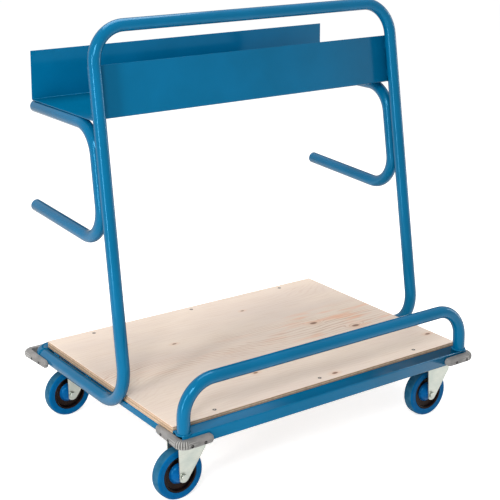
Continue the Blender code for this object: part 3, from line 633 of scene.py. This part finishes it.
def thicken(piece, thickness, rim_width, rim_angle):
    """Gives a middle surface its sheet thickness and rounds the rims that are sharper than an angle."""
    wall = piece.modifiers.new("Sheet thickness", "SOLIDIFY")
    wall.thickness = thickness
    wall.offset = 0.0
    wall.use_even_offset = True
    rim = piece.modifiers.new("Deburred rim", "BEVEL")
    rim.width = rim_width
    rim.segments = 2
    rim.limit_method = "ANGLE"
    rim.angle_limit = np.radians(rim_angle)


half_sheet = TRAY_SHEET / 2
tray_floor = tray_low.z + half_sheet
tray_stops = [
    (0, upright_y(tray_high.z, tray_behind + half_sheet), tray_high.z),
    (0, upright_y(tray_floor, tray_behind + half_sheet), tray_floor),
    (0, tray_high.y - half_sheet, tray_floor),
    (0, tray_high.y - half_sheet, tray_high.z),
]
sheet = folded_sheet_grid(tray_stops, (TRAY_FOLD, TRAY_FOLD), tray_low.x, tray_high.x)
tray = put("tray_sheet", grid_mesh("tray_sheet", sheet, close_columns=False), blue_paint, "cart", "tray")
thicken(tray, TRAY_SHEET, RIM_WIDTH, 60)
for side, name in ((-1, "left"), (1, "right")):
    x = side * (hoop_x - TRAY_WELD_INSET)
    for edge, share in TRAY_WELD_SHARES.items():
        low_z = tray_low.z + share * (tray_high.z - tray_low.z)
        ends = [(x, upright_y(z, tray_behind - TRAY_WELD_SINK), z) for z in (low_z, low_z + TRAY_WELD_LENGTH)]
        put(f"tray_weld_{name}_{edge}", weld_mesh("tray_weld", *straight(*ends)), blue_paint, "cart")


# The two hook arms: the same tube, bent twice, behind the hoop. Each runs forward under the tray, down
# the back of its upright and out again as an arm that rises a little to its closed tip.
ARM_BEND = 0.085
ARM_REACH = 0.345
ARM_TIP_HEIGHT = 0.619
ARM_SLOPE = np.radians(2.86)
ARM_WELD_HEIGHTS = (0.722, 0.770, 0.818)
ARM_WELD_HALF_LENGTH = 0.012
ARM_WELD_INSET = 0.0062
arm_behind = 2 * TUBE_RADIUS + SEAT_GAP
arm_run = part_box("hook_arm_left")[1].z - TUBE_RADIUS
arm_tip_y = deck_middle_y + ARM_REACH
rise, lean = np.tan(ARM_SLOPE), np.tan(HOOP_LEAN)
# the arm and the sloping run meet where the arm's line and the run's leaning line give the same Y
foot_of_run = upright_y(ARM_TIP_HEIGHT - arm_tip_y * rise, arm_behind)
knee_y = foot_of_run / (1 - rise * lean)
knee_z = ARM_TIP_HEIGHT - (arm_tip_y - knee_y) * rise
for side, name in ((-1, "left"), (1, "right")):
    x = side * hoop_x
    arm_stops = [(x, tray_high.y, arm_run), (x, upright_y(arm_run, arm_behind), arm_run), (x, knee_y, knee_z),
                 (x, arm_tip_y, ARM_TIP_HEIGHT)]
    arm = capped_tube(*bent_line(arm_stops, (ARM_BEND, ARM_BEND)), TUBE_RADIUS, END_ROUNDING)
    put(f"arm_tube_{name}", grid_mesh("arm_tube", arm), blue_paint, "cart", f"hook_arm_{name}")
    for number, level in enumerate(ARM_WELD_HEIGHTS):
        ends = [(x - side * ARM_WELD_INSET, upright_y(z, TUBE_RADIUS), z)
                for z in (level - ARM_WELD_HALF_LENGTH, level + ARM_WELD_HALF_LENGTH)]
        put(f"arm_weld_{name}_{number}", weld_mesh("arm_weld", *straight(*ends)), blue_paint, "cart")


# The corner pads: grey moulded rubber, with upright ribs round the corner. Two dark screws hold each leg.
PAD_THICKNESS = 0.020
PAD_END_THICKNESS = 0.012
PAD_CORNER = 0.030
PAD_OUTER_ROUND = 0.0095
PAD_INNER_ROUND = 0.0015
PAD_END = 0.011
PAD_FACE_INSET = 0.0007
RIB_PITCH = 0.0068
RIB_COUNT = 6
RIB_DEPTH = 0.0024
PAD_SIDE_SCREWS = (0.061, 0.100)
PAD_FRONT_SCREWS = (0.036, 0.074)
PAD_SCREW_DROP = 0.002
PAD_SCREW_HEAD = 0.0042
PAD_SCREW_SHANK = 0.0020
PAD_SCREW_LENGTH = 0.010
PAD_SCREW_SINK = 0.0002


def attribute(tree, name):
    """A value that a mesh holds at its vertices."""
    return add(tree, "ShaderNodeAttribute", {}, attribute_name=name).outputs["Fac"]


def vertex_places(mesh):
    """The places of a mesh's vertices, one row each."""
    places = np.empty(len(mesh.vertices) * 3)
    mesh.vertices.foreach_get("co", places)
    return places.reshape(-1, 3)


def mark_vertices(mesh, name, values):
    """Stores one value at each vertex, for a material to read."""
    mesh.attributes.new(name, "FLOAT", "POINT").data.foreach_set("value", values)


def grey_rubber_finish():
    """Moulded rubber: matt mid grey, paler where it is scuffed, with a painted highlight on the ribs' crests and
    painted shade in the grooves, and a fine moulded grain."""
    finish, tree, shader, place = new_finish("grey_rubber")
    scuff, grain = mottled(tree, place, 38.0, 0.0, 1.0)
    base = mix(tree, scuff, colour(122, 121, 119), colour(140, 137, 135))
    crest = attribute(tree, "crest")
    # painted highlight on the ribs' crests and painted shade in their grooves, both read from the crest value
    base = mix(tree, spread(tree, crest, 0.5, 0.9), base, colour(172, 171, 167))
    base = mix(tree, spread(tree, crest, -0.1, -0.6), base, colour(98, 98, 95))
    rough = spread(tree, grain, 0.2, 0.8, 0.55, 0.75)
    finished(tree, shader, base, rough, grain, 0.00012, Specular_IOR_Level=0.35)
    return finish


def leg_thickness(along, leg):
    """Thickness of the pad at a distance from its side leg's end: it grows evenly up to the corner's arc."""
    share = np.clip(along / (leg - PAD_CORNER), 0, 1)
    return PAD_END_THICKNESS + (PAD_THICKNESS - PAD_END_THICKNESS) * share


def pad_grid(side, end, outer_x, outer_y, low_z, high_z, side_leg, front_leg):
    """A rubber pad carried round a corner.
    Its outer line runs along one leg, round a quarter circle and along the other leg. At distance s from the
    corner's middle the outer face sinks by the rib depth between ribs, as cos(2 pi s / pitch) does. Towards
    the end of each leg the section shrinks as an ellipse does."""
    arc = PAD_CORNER * np.pi / 2
    first, last = side_leg - PAD_CORNER, front_leg - PAD_CORNER
    ease = PAD_END * (1 - np.cos(np.linspace(0, np.pi / 2, 7)))
    ribbed = np.linspace(-RIB_COUNT / 2 * RIB_PITCH, RIB_COUNT / 2 * RIB_PITCH, 61)
    whole = first + arc + last
    at = np.concatenate([ease, ribbed + first + arc / 2, (whole - ease)[::-1]])
    along = np.clip(at - first, 0, arc) / PAD_CORNER
    normal = np.stack([np.cos(along), np.sin(along)], -1)
    centre = np.array([outer_x - PAD_CORNER, outer_y - PAD_CORNER])
    line = centre + PAD_CORNER * normal
    line[:, 1] -= np.clip(first - at, 0, None)
    line[:, 0] -= np.clip(at - first - arc, 0, None)
    from_middle = at - first - arc / 2
    inside_ribs = np.abs(from_middle) < (RIB_COUNT / 2 - 0.02) * RIB_PITCH
    groove = RIB_DEPTH * (0.5 - 0.5 * np.cos(2 * np.pi * from_middle / RIB_PITCH)) ** 2
    groove = np.where(inside_ribs, groove, PAD_FACE_INSET)
    to_end = np.clip(np.minimum(at, whole - at) / PAD_END, 0, 1)
    share = np.sqrt(1 - (1 - to_end) ** 2)
    radii = (PAD_OUTER_ROUND, PAD_INNER_ROUND, PAD_INNER_ROUND, PAD_OUTER_ROUND)
    section = rounded_rectangle(PAD_THICKNESS, high_z - low_z, radii, 6)
    outward = section[:, 0] + PAD_THICKNESS / 2
    facing = np.clip((outward - PAD_THICKNESS / 2) / (PAD_THICKNESS / 2), 0, 1)
    thick = leg_thickness(at, side_leg) / PAD_THICKNESS * (0.35 + 0.65 * share)
    depth = outward * thick[:, None] - PAD_THICKNESS - groove[:, None] * facing
    depth = np.where(share[:, None] > 0, depth, -PAD_THICKNESS / 2)
    flat = line[:, None] + normal[:, None] * depth[..., None]
    level = (high_z + low_z) / 2 + section[:, 1] * share[:, None]
    return np.stack([side * flat[..., 0], end * flat[..., 1], level], -1)


def rib_crests(places, side, end, outer_x, outer_y):
    """1 on a rib's crest and -1 in a groove: cos(2 pi s / pitch) at distance s from the corner's middle along
    the outer face, and 0 off the ribs."""
    from_x = side * places[:, 0] - outer_x + PAD_CORNER
    from_y = end * places[:, 1] - outer_y + PAD_CORNER
    from_middle = PAD_CORNER * (np.arctan2(from_y, from_x) - np.pi / 4)
    outside = np.hypot(from_x, from_y) > PAD_CORNER - PAD_THICKNESS / 2
    ribbed = outside & (np.abs(from_middle) < RIB_COUNT / 2 * RIB_PITCH)
    return np.where(ribbed, np.cos(2 * np.pi * from_middle / RIB_PITCH), 0.0)


grey_rubber = grey_rubber_finish()
corners = {"front_left": (-1, -1), "front_right": (1, -1), "rear_left": (-1, 1), "rear_right": (1, 1)}
for corner, (side, end) in corners.items():
    low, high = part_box(f"corner_pad_{corner}")
    outer_x = max(side * low.x, side * high.x)
    outer_y = max(end * low.y, end * high.y)
    grid = pad_grid(side, end, outer_x, outer_y, low.z, high.z, high.y - low.y, high.x - low.x)
    pad = grid_mesh("pad", grid)
    mark_vertices(pad, "crest", rib_crests(vertex_places(pad), side, end, outer_x, outer_y))
    put(f"pad_{corner}", pad, grey_rubber, "cart", f"corner_pad_{corner}")
    middle_z = (low.z + high.z) / 2 - PAD_SCREW_DROP
    head = screw_grid(-PAD_SCREW_SINK, PAD_SCREW_HEAD, PAD_SCREW_SHANK, PAD_SCREW_LENGTH)
    leg = high.y - low.y
    for number, back in enumerate(PAD_SIDE_SCREWS):
        face_x = outer_x - PAD_THICKNESS + leg_thickness(leg - back, leg)
        turned_head = np.stack([side * (face_x + head[..., 2]), end * (outer_y - back) + head[..., 0],
                                middle_z + head[..., 1]], -1)
        put(f"pad_side_screw_{corner}_{number}", grid_mesh("pad_screw", turned_head), dark_steel, "cart")
    for number, back in enumerate(PAD_FRONT_SCREWS):
        turned_head = np.stack([side * (outer_x - back) + head[..., 0], end * (outer_y + head[..., 2]),
                                middle_z + head[..., 1]], -1)
        put(f"pad_front_screw_{corner}_{number}", grid_mesh("pad_screw", turned_head), dark_steel, "cart")


# The four swivel casters, pressed from zinc-plated steel. The head is a top plate on four bolts, with the
# ball race and the king pin below it.
TOP_PLATE_THICKNESS = 0.004
TOP_PLATE_CORNER = 0.010
TOP_PLATE_EDGE = 0.0008
RACE_HEIGHT = 0.012
RACE_STEPS = 96
KING_PIN_RADIUS = 0.008
KING_PIN_SHOWN = 0.0042
NUT_RADIUS = 0.0075
NUT_HEIGHT = 0.0060
NUT_X = 0.038
NUT_Y = 0.031
NUT_SIDES = 6
KING_NUT_RADIUS = 0.0115
KING_NUT_HEIGHT = 0.0065
heads = {joint["child"]: joint["pos_m"] for joint in frame["joints"] if joint["name"].endswith("swivel")}
wheels = {joint["child"]: joint["pos_m"] for joint in frame["joints"] if joint["name"].endswith("spin")}


def zinc_plate_finish():
    """Zinc plate on pressed steel: pale grey with a faint straw cast, cloudy gloss and fine rolling marks."""
    finish, tree, shader, place = new_finish("zinc_plate")
    cloud, fine = mottled(tree, place, 26.0, 0.0, 1.0)
    base = mix(tree, cloud, colour(170, 176, 168), colour(190, 192, 182))
    rolled = noise(tree, scaled(tree, place, (60.0, 60.0, 900.0)))
    base = mix(tree, spread(tree, rolled, 0.5, 0.8, 0.0, 0.35), base, colour(148, 153, 147))
    rough = reckon(tree, "MULTIPLY_ADD", cloud, 0.14, 0.30)
    height = reckon(tree, "MULTIPLY_ADD", rolled, 0.6, fine)
    finished(tree, shader, base, rough, height, 0.00003, Metallic=0.9)
    return finish


def nut_grid(radius, height, chamfer=0.12):
    """A six-sided nut about Z from 0 down to -height, with its corners turned off at both faces."""
    angle = np.linspace(0, 2 * np.pi, NUT_SIDES * 8, endpoint=False)
    flat = np.cos(np.pi / NUT_SIDES) / np.cos((angle % (2 * np.pi / NUT_SIDES)) - np.pi / NUT_SIDES)
    rows = []
    for share, level in ((0, 0), (0.86, 0), (1, -chamfer), (1, chamfer - 1), (0.86, -1), (0, -1)):
        reach = radius * np.minimum(flat * max(share, 0.93), share) if share < 1 else radius * flat
        rows.append(np.stack([reach * np.cos(angle), reach * np.sin(angle), np.full(len(angle), level * height)], -1))
    return np.array(rows)


zinc_plate = zinc_plate_finish()
for body, (x, y, _) in heads.items():
    corner = body.replace("swivel_", "")
    low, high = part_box(f"caster_head_{corner}")
    plate_low = high.z - TOP_PLATE_THICKNESS
    plate = slab_grid((low.x, low.y, plate_low), high, TOP_PLATE_CORNER, TOP_PLATE_EDGE)
    put(f"top_plate_{corner}", grid_mesh("top_plate", plate), zinc_plate, "cart", f"caster_head_{corner}")
    race = [
        (0, 0.001), (0.024, 0.001), (0.0262, -0.0006), (0.0276, -0.002), (0.0288, -0.0034), (0.029, -0.0052),
        (0.0286, -0.0060), (0.0268, -0.0063), (0.0268, -0.0078), (0.0286, -0.0081), (0.029, -0.0088),
        (0.029, 0.001 - RACE_HEIGHT), (0.0282, -RACE_HEIGHT), (KING_PIN_RADIUS, -RACE_HEIGHT),
        (KING_PIN_RADIUS, -RACE_HEIGHT - KING_PIN_SHOWN), (0, -RACE_HEIGHT - KING_PIN_SHOWN),
    ]
    ring = turned(race, RACE_STEPS) + (x, y, plate_low)
    put(f"race_{corner}", grid_mesh("race", ring, sharp=40), zinc_plate, "cart")
    pin_nut = nut_grid(KING_NUT_RADIUS, KING_NUT_HEIGHT) + (x, y, low.z + KING_NUT_HEIGHT)
    put(f"king_nut_{corner}", grid_mesh("king_nut", pin_nut, sharp=30), zinc_plate, "cart")
    for number, (sign_x, sign_y) in enumerate(((1, 1), (-1, 1), (-1, -1), (1, -1))):
        nut = nut_grid(NUT_RADIUS, NUT_HEIGHT) + (x + sign_x * NUT_X, y + sign_y * NUT_Y, plate_low)
        put(f"plate_nut_{corner}_{number}", grid_mesh("plate_nut", nut, sharp=30), zinc_plate, "cart")


# The forks: 3 mm sheet pressed into a channel over the wheel, straight behind and sloping in front, with
# round tips. The axle bolt goes through both tips.
FORK_SHEET = 0.0030
FORK_SHOULDER = 0.0070
FORK_FRONT_DROP = 0.021
FORK_TIP_RADIUS = 0.015
FORK_TIP_FORWARD = 0.003
FORK_TIP_DROP = 0.002
FORK_RIM_WIDTH = 0.0006
AXLE_HEAD_RADIUS = 0.0085
AXLE_HEAD_HEIGHT = 0.0060
AXLE_HEAD_OUT = 0.0072
AXLE_RADIUS = 0.005
AXLE_ROUNDING = 0.0008
AXLE_HEAD_END = 0.0065
AXLE_NUT_END = 0.0085
WASHER_THICKNESS = 0.0011
WASHER_OUT = 0.0013


def fork_grid(half_width, top, back, front, tip, steps=10):
    """Middle surface of the fork about its swivel axis.
    A row follows the section from one leg's tip up, over the crown and down the other leg. Its width in X
    runs from the back edge to the front edge at that height: a circle round the tip below, and above it a
    straight line from the circle's tangent point to the shoulder."""
    half = half_width - FORK_SHEET / 2
    roof = top - FORK_SHEET / 2
    bend = FORK_SHOULDER - FORK_SHEET / 2
    shoulder = np.array([front, top - FORK_FRONT_DROP])
    reach = shoulder - tip
    slope = np.arctan2(reach[1], reach[0]) - np.arccos(FORK_TIP_RADIUS / np.hypot(*reach))
    touch = tip + FORK_TIP_RADIUS * np.array([np.cos(slope), np.sin(slope)])
    swing = np.linspace(-np.pi / 2, slope, 16)
    leg_z = np.concatenate([tip[1] + FORK_TIP_RADIUS * np.sin(swing), [shoulder[1], roof - bend - 0.001]])
    arc = np.linspace(0, np.pi / 2, 7)
    z = np.concatenate([leg_z, roof - bend + bend * np.sin(arc)])
    y = np.concatenate([np.full(len(leg_z), half), half - bend + bend * np.cos(arc)])
    z = np.concatenate([z, z[::-1]])
    y = np.concatenate([y, -y[::-1]])
    drop = np.clip(tip[1] - z, 0, FORK_TIP_RADIUS)
    round_x = np.sqrt(FORK_TIP_RADIUS ** 2 - drop ** 2)
    lift = np.sqrt(np.clip(FORK_TIP_RADIUS ** 2 - (z - tip[1]) ** 2, 0, None))
    back_x = np.where(z < tip[1], tip[0] - round_x, back)
    sloped = np.interp(z, [touch[1], shoulder[1]], [touch[0], shoulder[0]])
    front_x = np.where(z < touch[1], tip[0] + lift, sloped)
    across = np.linspace(0, 1, steps + 1)[None, :, None]
    start = np.stack([back_x, y, z], -1)[:, None]
    end = np.stack([front_x, y, z], -1)[:, None]
    return start + across * (end - start)


for body, (x, y, _) in heads.items():
    corner = body.replace("swivel_", "")
    low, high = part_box(f"fork_{corner}")
    axle_x, _, axle_z = wheels[f"wheel_{corner}"]
    tip = np.array([axle_x - x + FORK_TIP_FORWARD, axle_z - FORK_TIP_DROP])
    surface = fork_grid((high.y - low.y) / 2, high.z, low.x - x, high.x - x, tip) + (x, y, 0)
    fork = put(f"fork_sheet_{corner}", grid_mesh("fork_sheet", surface, close_columns=False), zinc_plate, body,
               f"fork_{corner}")
    thicken(fork, FORK_SHEET, FORK_RIM_WIDTH, 50)
    face = (high.y - low.y) / 2
    ends = [(axle_x, y - face - AXLE_HEAD_END, axle_z), (axle_x, y + face + AXLE_NUT_END, axle_z)]
    shank = capped_tube(*straight(*ends, 0.01), AXLE_RADIUS, AXLE_ROUNDING, count=32)
    put(f"axle_pin_{corner}", grid_mesh("axle_pin", shank), zinc_plate, body, f"axle_{corner}")
    for name, way in (("near", -1), ("far", 1)):
        nut = nut_grid(AXLE_HEAD_RADIUS, AXLE_HEAD_HEIGHT)
        washer_side = [(0, 0), (0.0100, 0), (0.0104, -0.0004), (0.0104, -WASHER_THICKNESS), (0, -WASHER_THICKNESS)]
        washer = turned(washer_side, SCREW_STEPS)
        for label, grid, out in (("bolt", nut, AXLE_HEAD_OUT), ("washer", washer, WASHER_OUT)):
            laid = np.stack([grid[..., 0] + axle_x, y + way * (face + out + grid[..., 2]), axle_z + grid[..., 1]], -1)
            put(f"axle_{label}_{name}_{corner}", grid_mesh(f"axle_{label}", laid, sharp=30), zinc_plate, body)


# The wheels: blue elastic rubber tyres on black moulded centres, with a domed blue plastic guard over the
# hub on each side.
WHEEL_STEPS = 128
TYRE_INNER = 0.0475
TYRE_SEAT = 0.0155
TYRE_BULGE = 0.0580
TYRE_HALF_WIDTH = 0.0160
TREAD_FROM = 0.0642


def blue_rubber_finish():
    """Tyre rubber: clean blue side walls and a paler, greyer tread."""
    finish, tree, shader, place = new_finish("blue_rubber")
    tread = spread(tree, attribute(tree, "reach"), TREAD_FROM, TREAD_FROM + 0.0012)
    rub, grain = mottled(tree, place, 60.0, 0.0, 1.0)
    side = mix(tree, rub, colour(0, 88, 141), colour(2, 96, 153))
    # the tread is paler and greyer than the side walls
    tread_grey = mix(tree, rub, colour(26, 88, 120), colour(48, 102, 132))
    rough = reckon(tree, "MULTIPLY_ADD", tread, 0.2, 0.42)
    finished(tree, shader, mix(tree, tread, side, tread_grey), rough, grain, 0.00006, Specular_IOR_Level=0.16,
             Specular_Tint=colour(90, 200, 255))
    return finish


def black_plastic_finish():
    """Moulded black plastic: half glossy and near black, with a faint brown cast that is a painted warm reflection,
    and hair marks.
    """
    finish, tree, shader, place = new_finish("black_plastic")
    cloud, fine = mottled(tree, place, 70.0, 0.0, 1.0)
    # painted reflection: the brown cast in both colours stands in for a warm reflection on the black wheel centres
    base = mix(tree, cloud, colour(12, 8, 9), colour(26, 15, 13))
    rough = reckon(tree, "MULTIPLY_ADD", cloud, 0.08, 0.18)
    finished(tree, shader, base, rough, fine, 0.00002, Specular_IOR_Level=0.14, Specular_Tint=colour(255, 214, 196))
    return finish


def blue_plastic_finish():
    """Moulded blue plastic of the guards: even, half glossy, with a fine moulded grain."""
    finish, tree, shader, place = new_finish("blue_plastic")
    cloud, fine = mottled(tree, place, 55.0, 0.0, 1.0)
    base = mix(tree, cloud, colour(0, 80, 138), colour(2, 89, 152))
    rough = reckon(tree, "MULTIPLY_ADD", cloud, 0.06, 0.2)
    finished(tree, shader, base, rough, fine, 0.00003, Specular_IOR_Level=0.35, Specular_Tint=colour(90, 200, 255))
    return finish


def mirrored(half):
    """A closed profile from its half: the same points again with the other sign across, backwards."""
    return np.array(half + [(radius, -across) for radius, across in half[::-1]])


def tyre_profile(wheel_radius):
    """Seat, slanted wall, and a squarish shoulder: radius = bulge + h * sin(a) ** 0.6 and across =
    half width * cos(a) ** 0.6, from the widest place to the crown."""
    angle = np.linspace(0, np.pi / 2, 13)
    radius = TYRE_BULGE + (wheel_radius - TYRE_BULGE) * np.sin(angle) ** 0.6
    across = TYRE_HALF_WIDTH * np.cos(angle) ** 0.6
    wall = [(TYRE_INNER, TYRE_SEAT - 0.0004), (TYRE_INNER + 0.0004, TYRE_SEAT), (0.0508, 0.0158), (0.0514, 0.0155),
            (0.0520, 0.0155), (0.0526, 0.0158), (0.0545, 0.0160)]
    return mirrored(wall + list(zip(radius.tolist(), across.tolist()))[:-1] + [(wheel_radius, 0.0)])[:-1]


def wheel_mesh(name, profile, centre, sharp=35.0, close_rows=True):
    """Spins a profile of (radius, across) points about the axle, which runs along Y."""
    grid = turned(profile, WHEEL_STEPS)
    laid = np.stack([grid[..., 0], grid[..., 2], grid[..., 1]], -1) + np.array(centre)
    return grid_mesh(name, laid, close_rows=close_rows, sharp=sharp)


blue_rubber = blue_rubber_finish()
black_plastic = black_plastic_finish()
blue_plastic = blue_plastic_finish()
for body, centre in wheels.items():
    corner = body.replace("wheel_", "")
    wheel_radius = centre[2]
    tyre = wheel_mesh("tyre_rubber", tyre_profile(wheel_radius), centre)
    from_axle = vertex_places(tyre) - np.array(centre)
    mark_vertices(tyre, "reach", np.hypot(from_axle[:, 0], from_axle[:, 2]))
    put(f"tyre_rubber_{corner}", tyre, blue_rubber, body, f"tyre_{corner}")
    rim = TYRE_INNER - SEAT_GAP
    centre_half = [
        (0.0153, 0.0105), (0.0180, 0.0105), (0.0185, 0.0100), (0.0185, 0.0068), (0.0192, 0.0058), (0.0204, 0.0055),
        (0.0385, 0.0055), (0.0402, 0.0060), (0.0414, 0.0076), (0.0424, 0.0128), (0.0428, 0.0144), (0.0434, 0.0152),
        (0.0442, 0.0155), (rim - 0.0006, 0.0155), (rim, 0.0149),
    ]
    put(f"wheel_moulding_{corner}", wheel_mesh("wheel_moulding", mirrored(centre_half), centre, 40), black_plastic,
        body, f"wheel_centre_{corner}")
    guard_half = [
        (0.0054, 0.0250), (0.0090, 0.0250), (0.0095, 0.0245), (0.0095, 0.0206), (0.0101, 0.0200), (0.0114, 0.0196),
        (0.0130, 0.0192), (0.0168, 0.0176), (0.0200, 0.0157), (0.0225, 0.0135), (0.0244, 0.0112), (0.0256, 0.0090),
        (0.0262, 0.0076), (0.0270, 0.0070), (0.0275, 0.0066), (0.0275, 0.0061), (0.0272, 0.0058), (0.0188, 0.0108),
        (0.0150, 0.0108),
    ]
    put(f"hub_guard_{corner}", wheel_mesh("hub_guard", mirrored(guard_half), centre, 40), blue_plastic, body,
        f"hub_{corner}")


# The floor, the light and the camera. The floor is plain and pale, the light is soft, and the camera
# stands where the photograph was taken from.
CAMERA_PLACE = (-1.957, -2.7497, 1.568)
CAMERA_AZIMUTH = -35.35
CAMERA_ELEVATION = 10.97
CAMERA_LENS = 89.72
CAMERA_SHIFT_X = 0.0008
CAMERA_SHIFT_Y = -0.2972
FLOOR_REACH = 30
FLOOR_LEVEL = -0.0002
FLOOR_GLOW = 0.7
WORLD_LIGHT = 0.38


def directly_seen(tree):
    """1 for what the camera, a reflection or a view through glass sees, and 0 for what only gives light."""
    path = tree.nodes.new("ShaderNodeLightPath").outputs
    seen = reckon(tree, "MAXIMUM", path["Is Camera Ray"], path["Is Glossy Ray"])
    return reckon(tree, "MAXIMUM", seen, path["Is Transmission Ray"])


def soft_lamp(name, place, aim, width, height, power):
    """A rectangular soft box that shines at a point."""
    lamp = bpy.data.lights.new(name, "AREA")
    lamp.shape = "RECTANGLE"
    lamp.size = width
    lamp.size_y = height
    lamp.energy = power
    made = bpy.data.objects.new(name, lamp)
    made.visible_camera = False
    made.location = place
    made.rotation_euler = (Vector(aim) - Vector(place)).to_track_quat("-Z", "Y").to_euler()
    bpy.context.scene.collection.objects.link(made)


floor_mesh = bpy.data.meshes.new("floor")
floor_corners = [(a * FLOOR_REACH, b * FLOOR_REACH, FLOOR_LEVEL) for a, b in ((-1, -1), (1, -1), (1, 1), (-1, 1))]
floor_mesh.from_pydata(floor_corners, [], [(0, 1, 2, 3)])
floor = bpy.data.objects.new("floor", floor_mesh)
bpy.context.scene.collection.objects.link(floor)
floor_paint, tree, shader, place = new_finish("floor")
shader.inputs["Base Color"].default_value = (0.8, 0.8, 0.8, 1.0)
shader.inputs["Roughness"].default_value = 0.9
shader.inputs["Specular IOR Level"].default_value = 0.0
glow_strength = reckon(tree, "MULTIPLY", directly_seen(tree), FLOOR_GLOW)
glow = add(tree, "ShaderNodeEmission", {"Color": (1, 1, 1, 1), "Strength": glow_strength})
both = add(tree, "ShaderNodeAddShader", {0: shader.outputs[0], 1: glow.outputs[0]})
tree.links.new(both.outputs[0], tree.nodes["Material Output"].inputs["Surface"])
floor_mesh.materials.append(floor_paint)

soft_lamp("key_lamp", (-2.6, -2.8, 3.0), (0, 0, 0.6), 1.2, 1.2, 86)
soft_lamp("left_strip", (-3.4, -1.3, 1.15), (0, 0, 0.9), 0.4, 2.3, 62)
soft_lamp("right_strip", (3.9, -0.8, 1.15), (0, 0, 0.9), 0.4, 2.3, 24)
soft_lamp("top_lamp", (0.2, 0.9, 3.9), (0, 0, 0.3), 2.6, 2.6, 105)

world = bpy.data.worlds.new("studio")
bpy.context.scene.world = world
world.use_nodes = True
tree = world.node_tree
ground = tree.nodes["Background"]
ground.inputs["Color"].default_value = (1, 1, 1, 1)
ground_strength = reckon(tree, "MULTIPLY_ADD", directly_seen(tree), 1 - WORLD_LIGHT, WORLD_LIGHT)
tree.links.new(ground_strength, ground.inputs["Strength"])

camera_data = bpy.data.cameras.new("camera")
camera_data.lens = CAMERA_LENS
camera_data.sensor_width = 36.0
camera_data.shift_x = CAMERA_SHIFT_X
camera_data.shift_y = CAMERA_SHIFT_Y
camera = bpy.data.objects.new("camera", camera_data)
camera.location = CAMERA_PLACE
camera.rotation_euler = np.radians((90 - CAMERA_ELEVATION, 0, CAMERA_AZIMUTH)).tolist()
bpy.context.scene.collection.objects.link(camera)
bpy.context.scene.camera = camera
bpy.context.scene.view_settings.view_transform = "Standard"
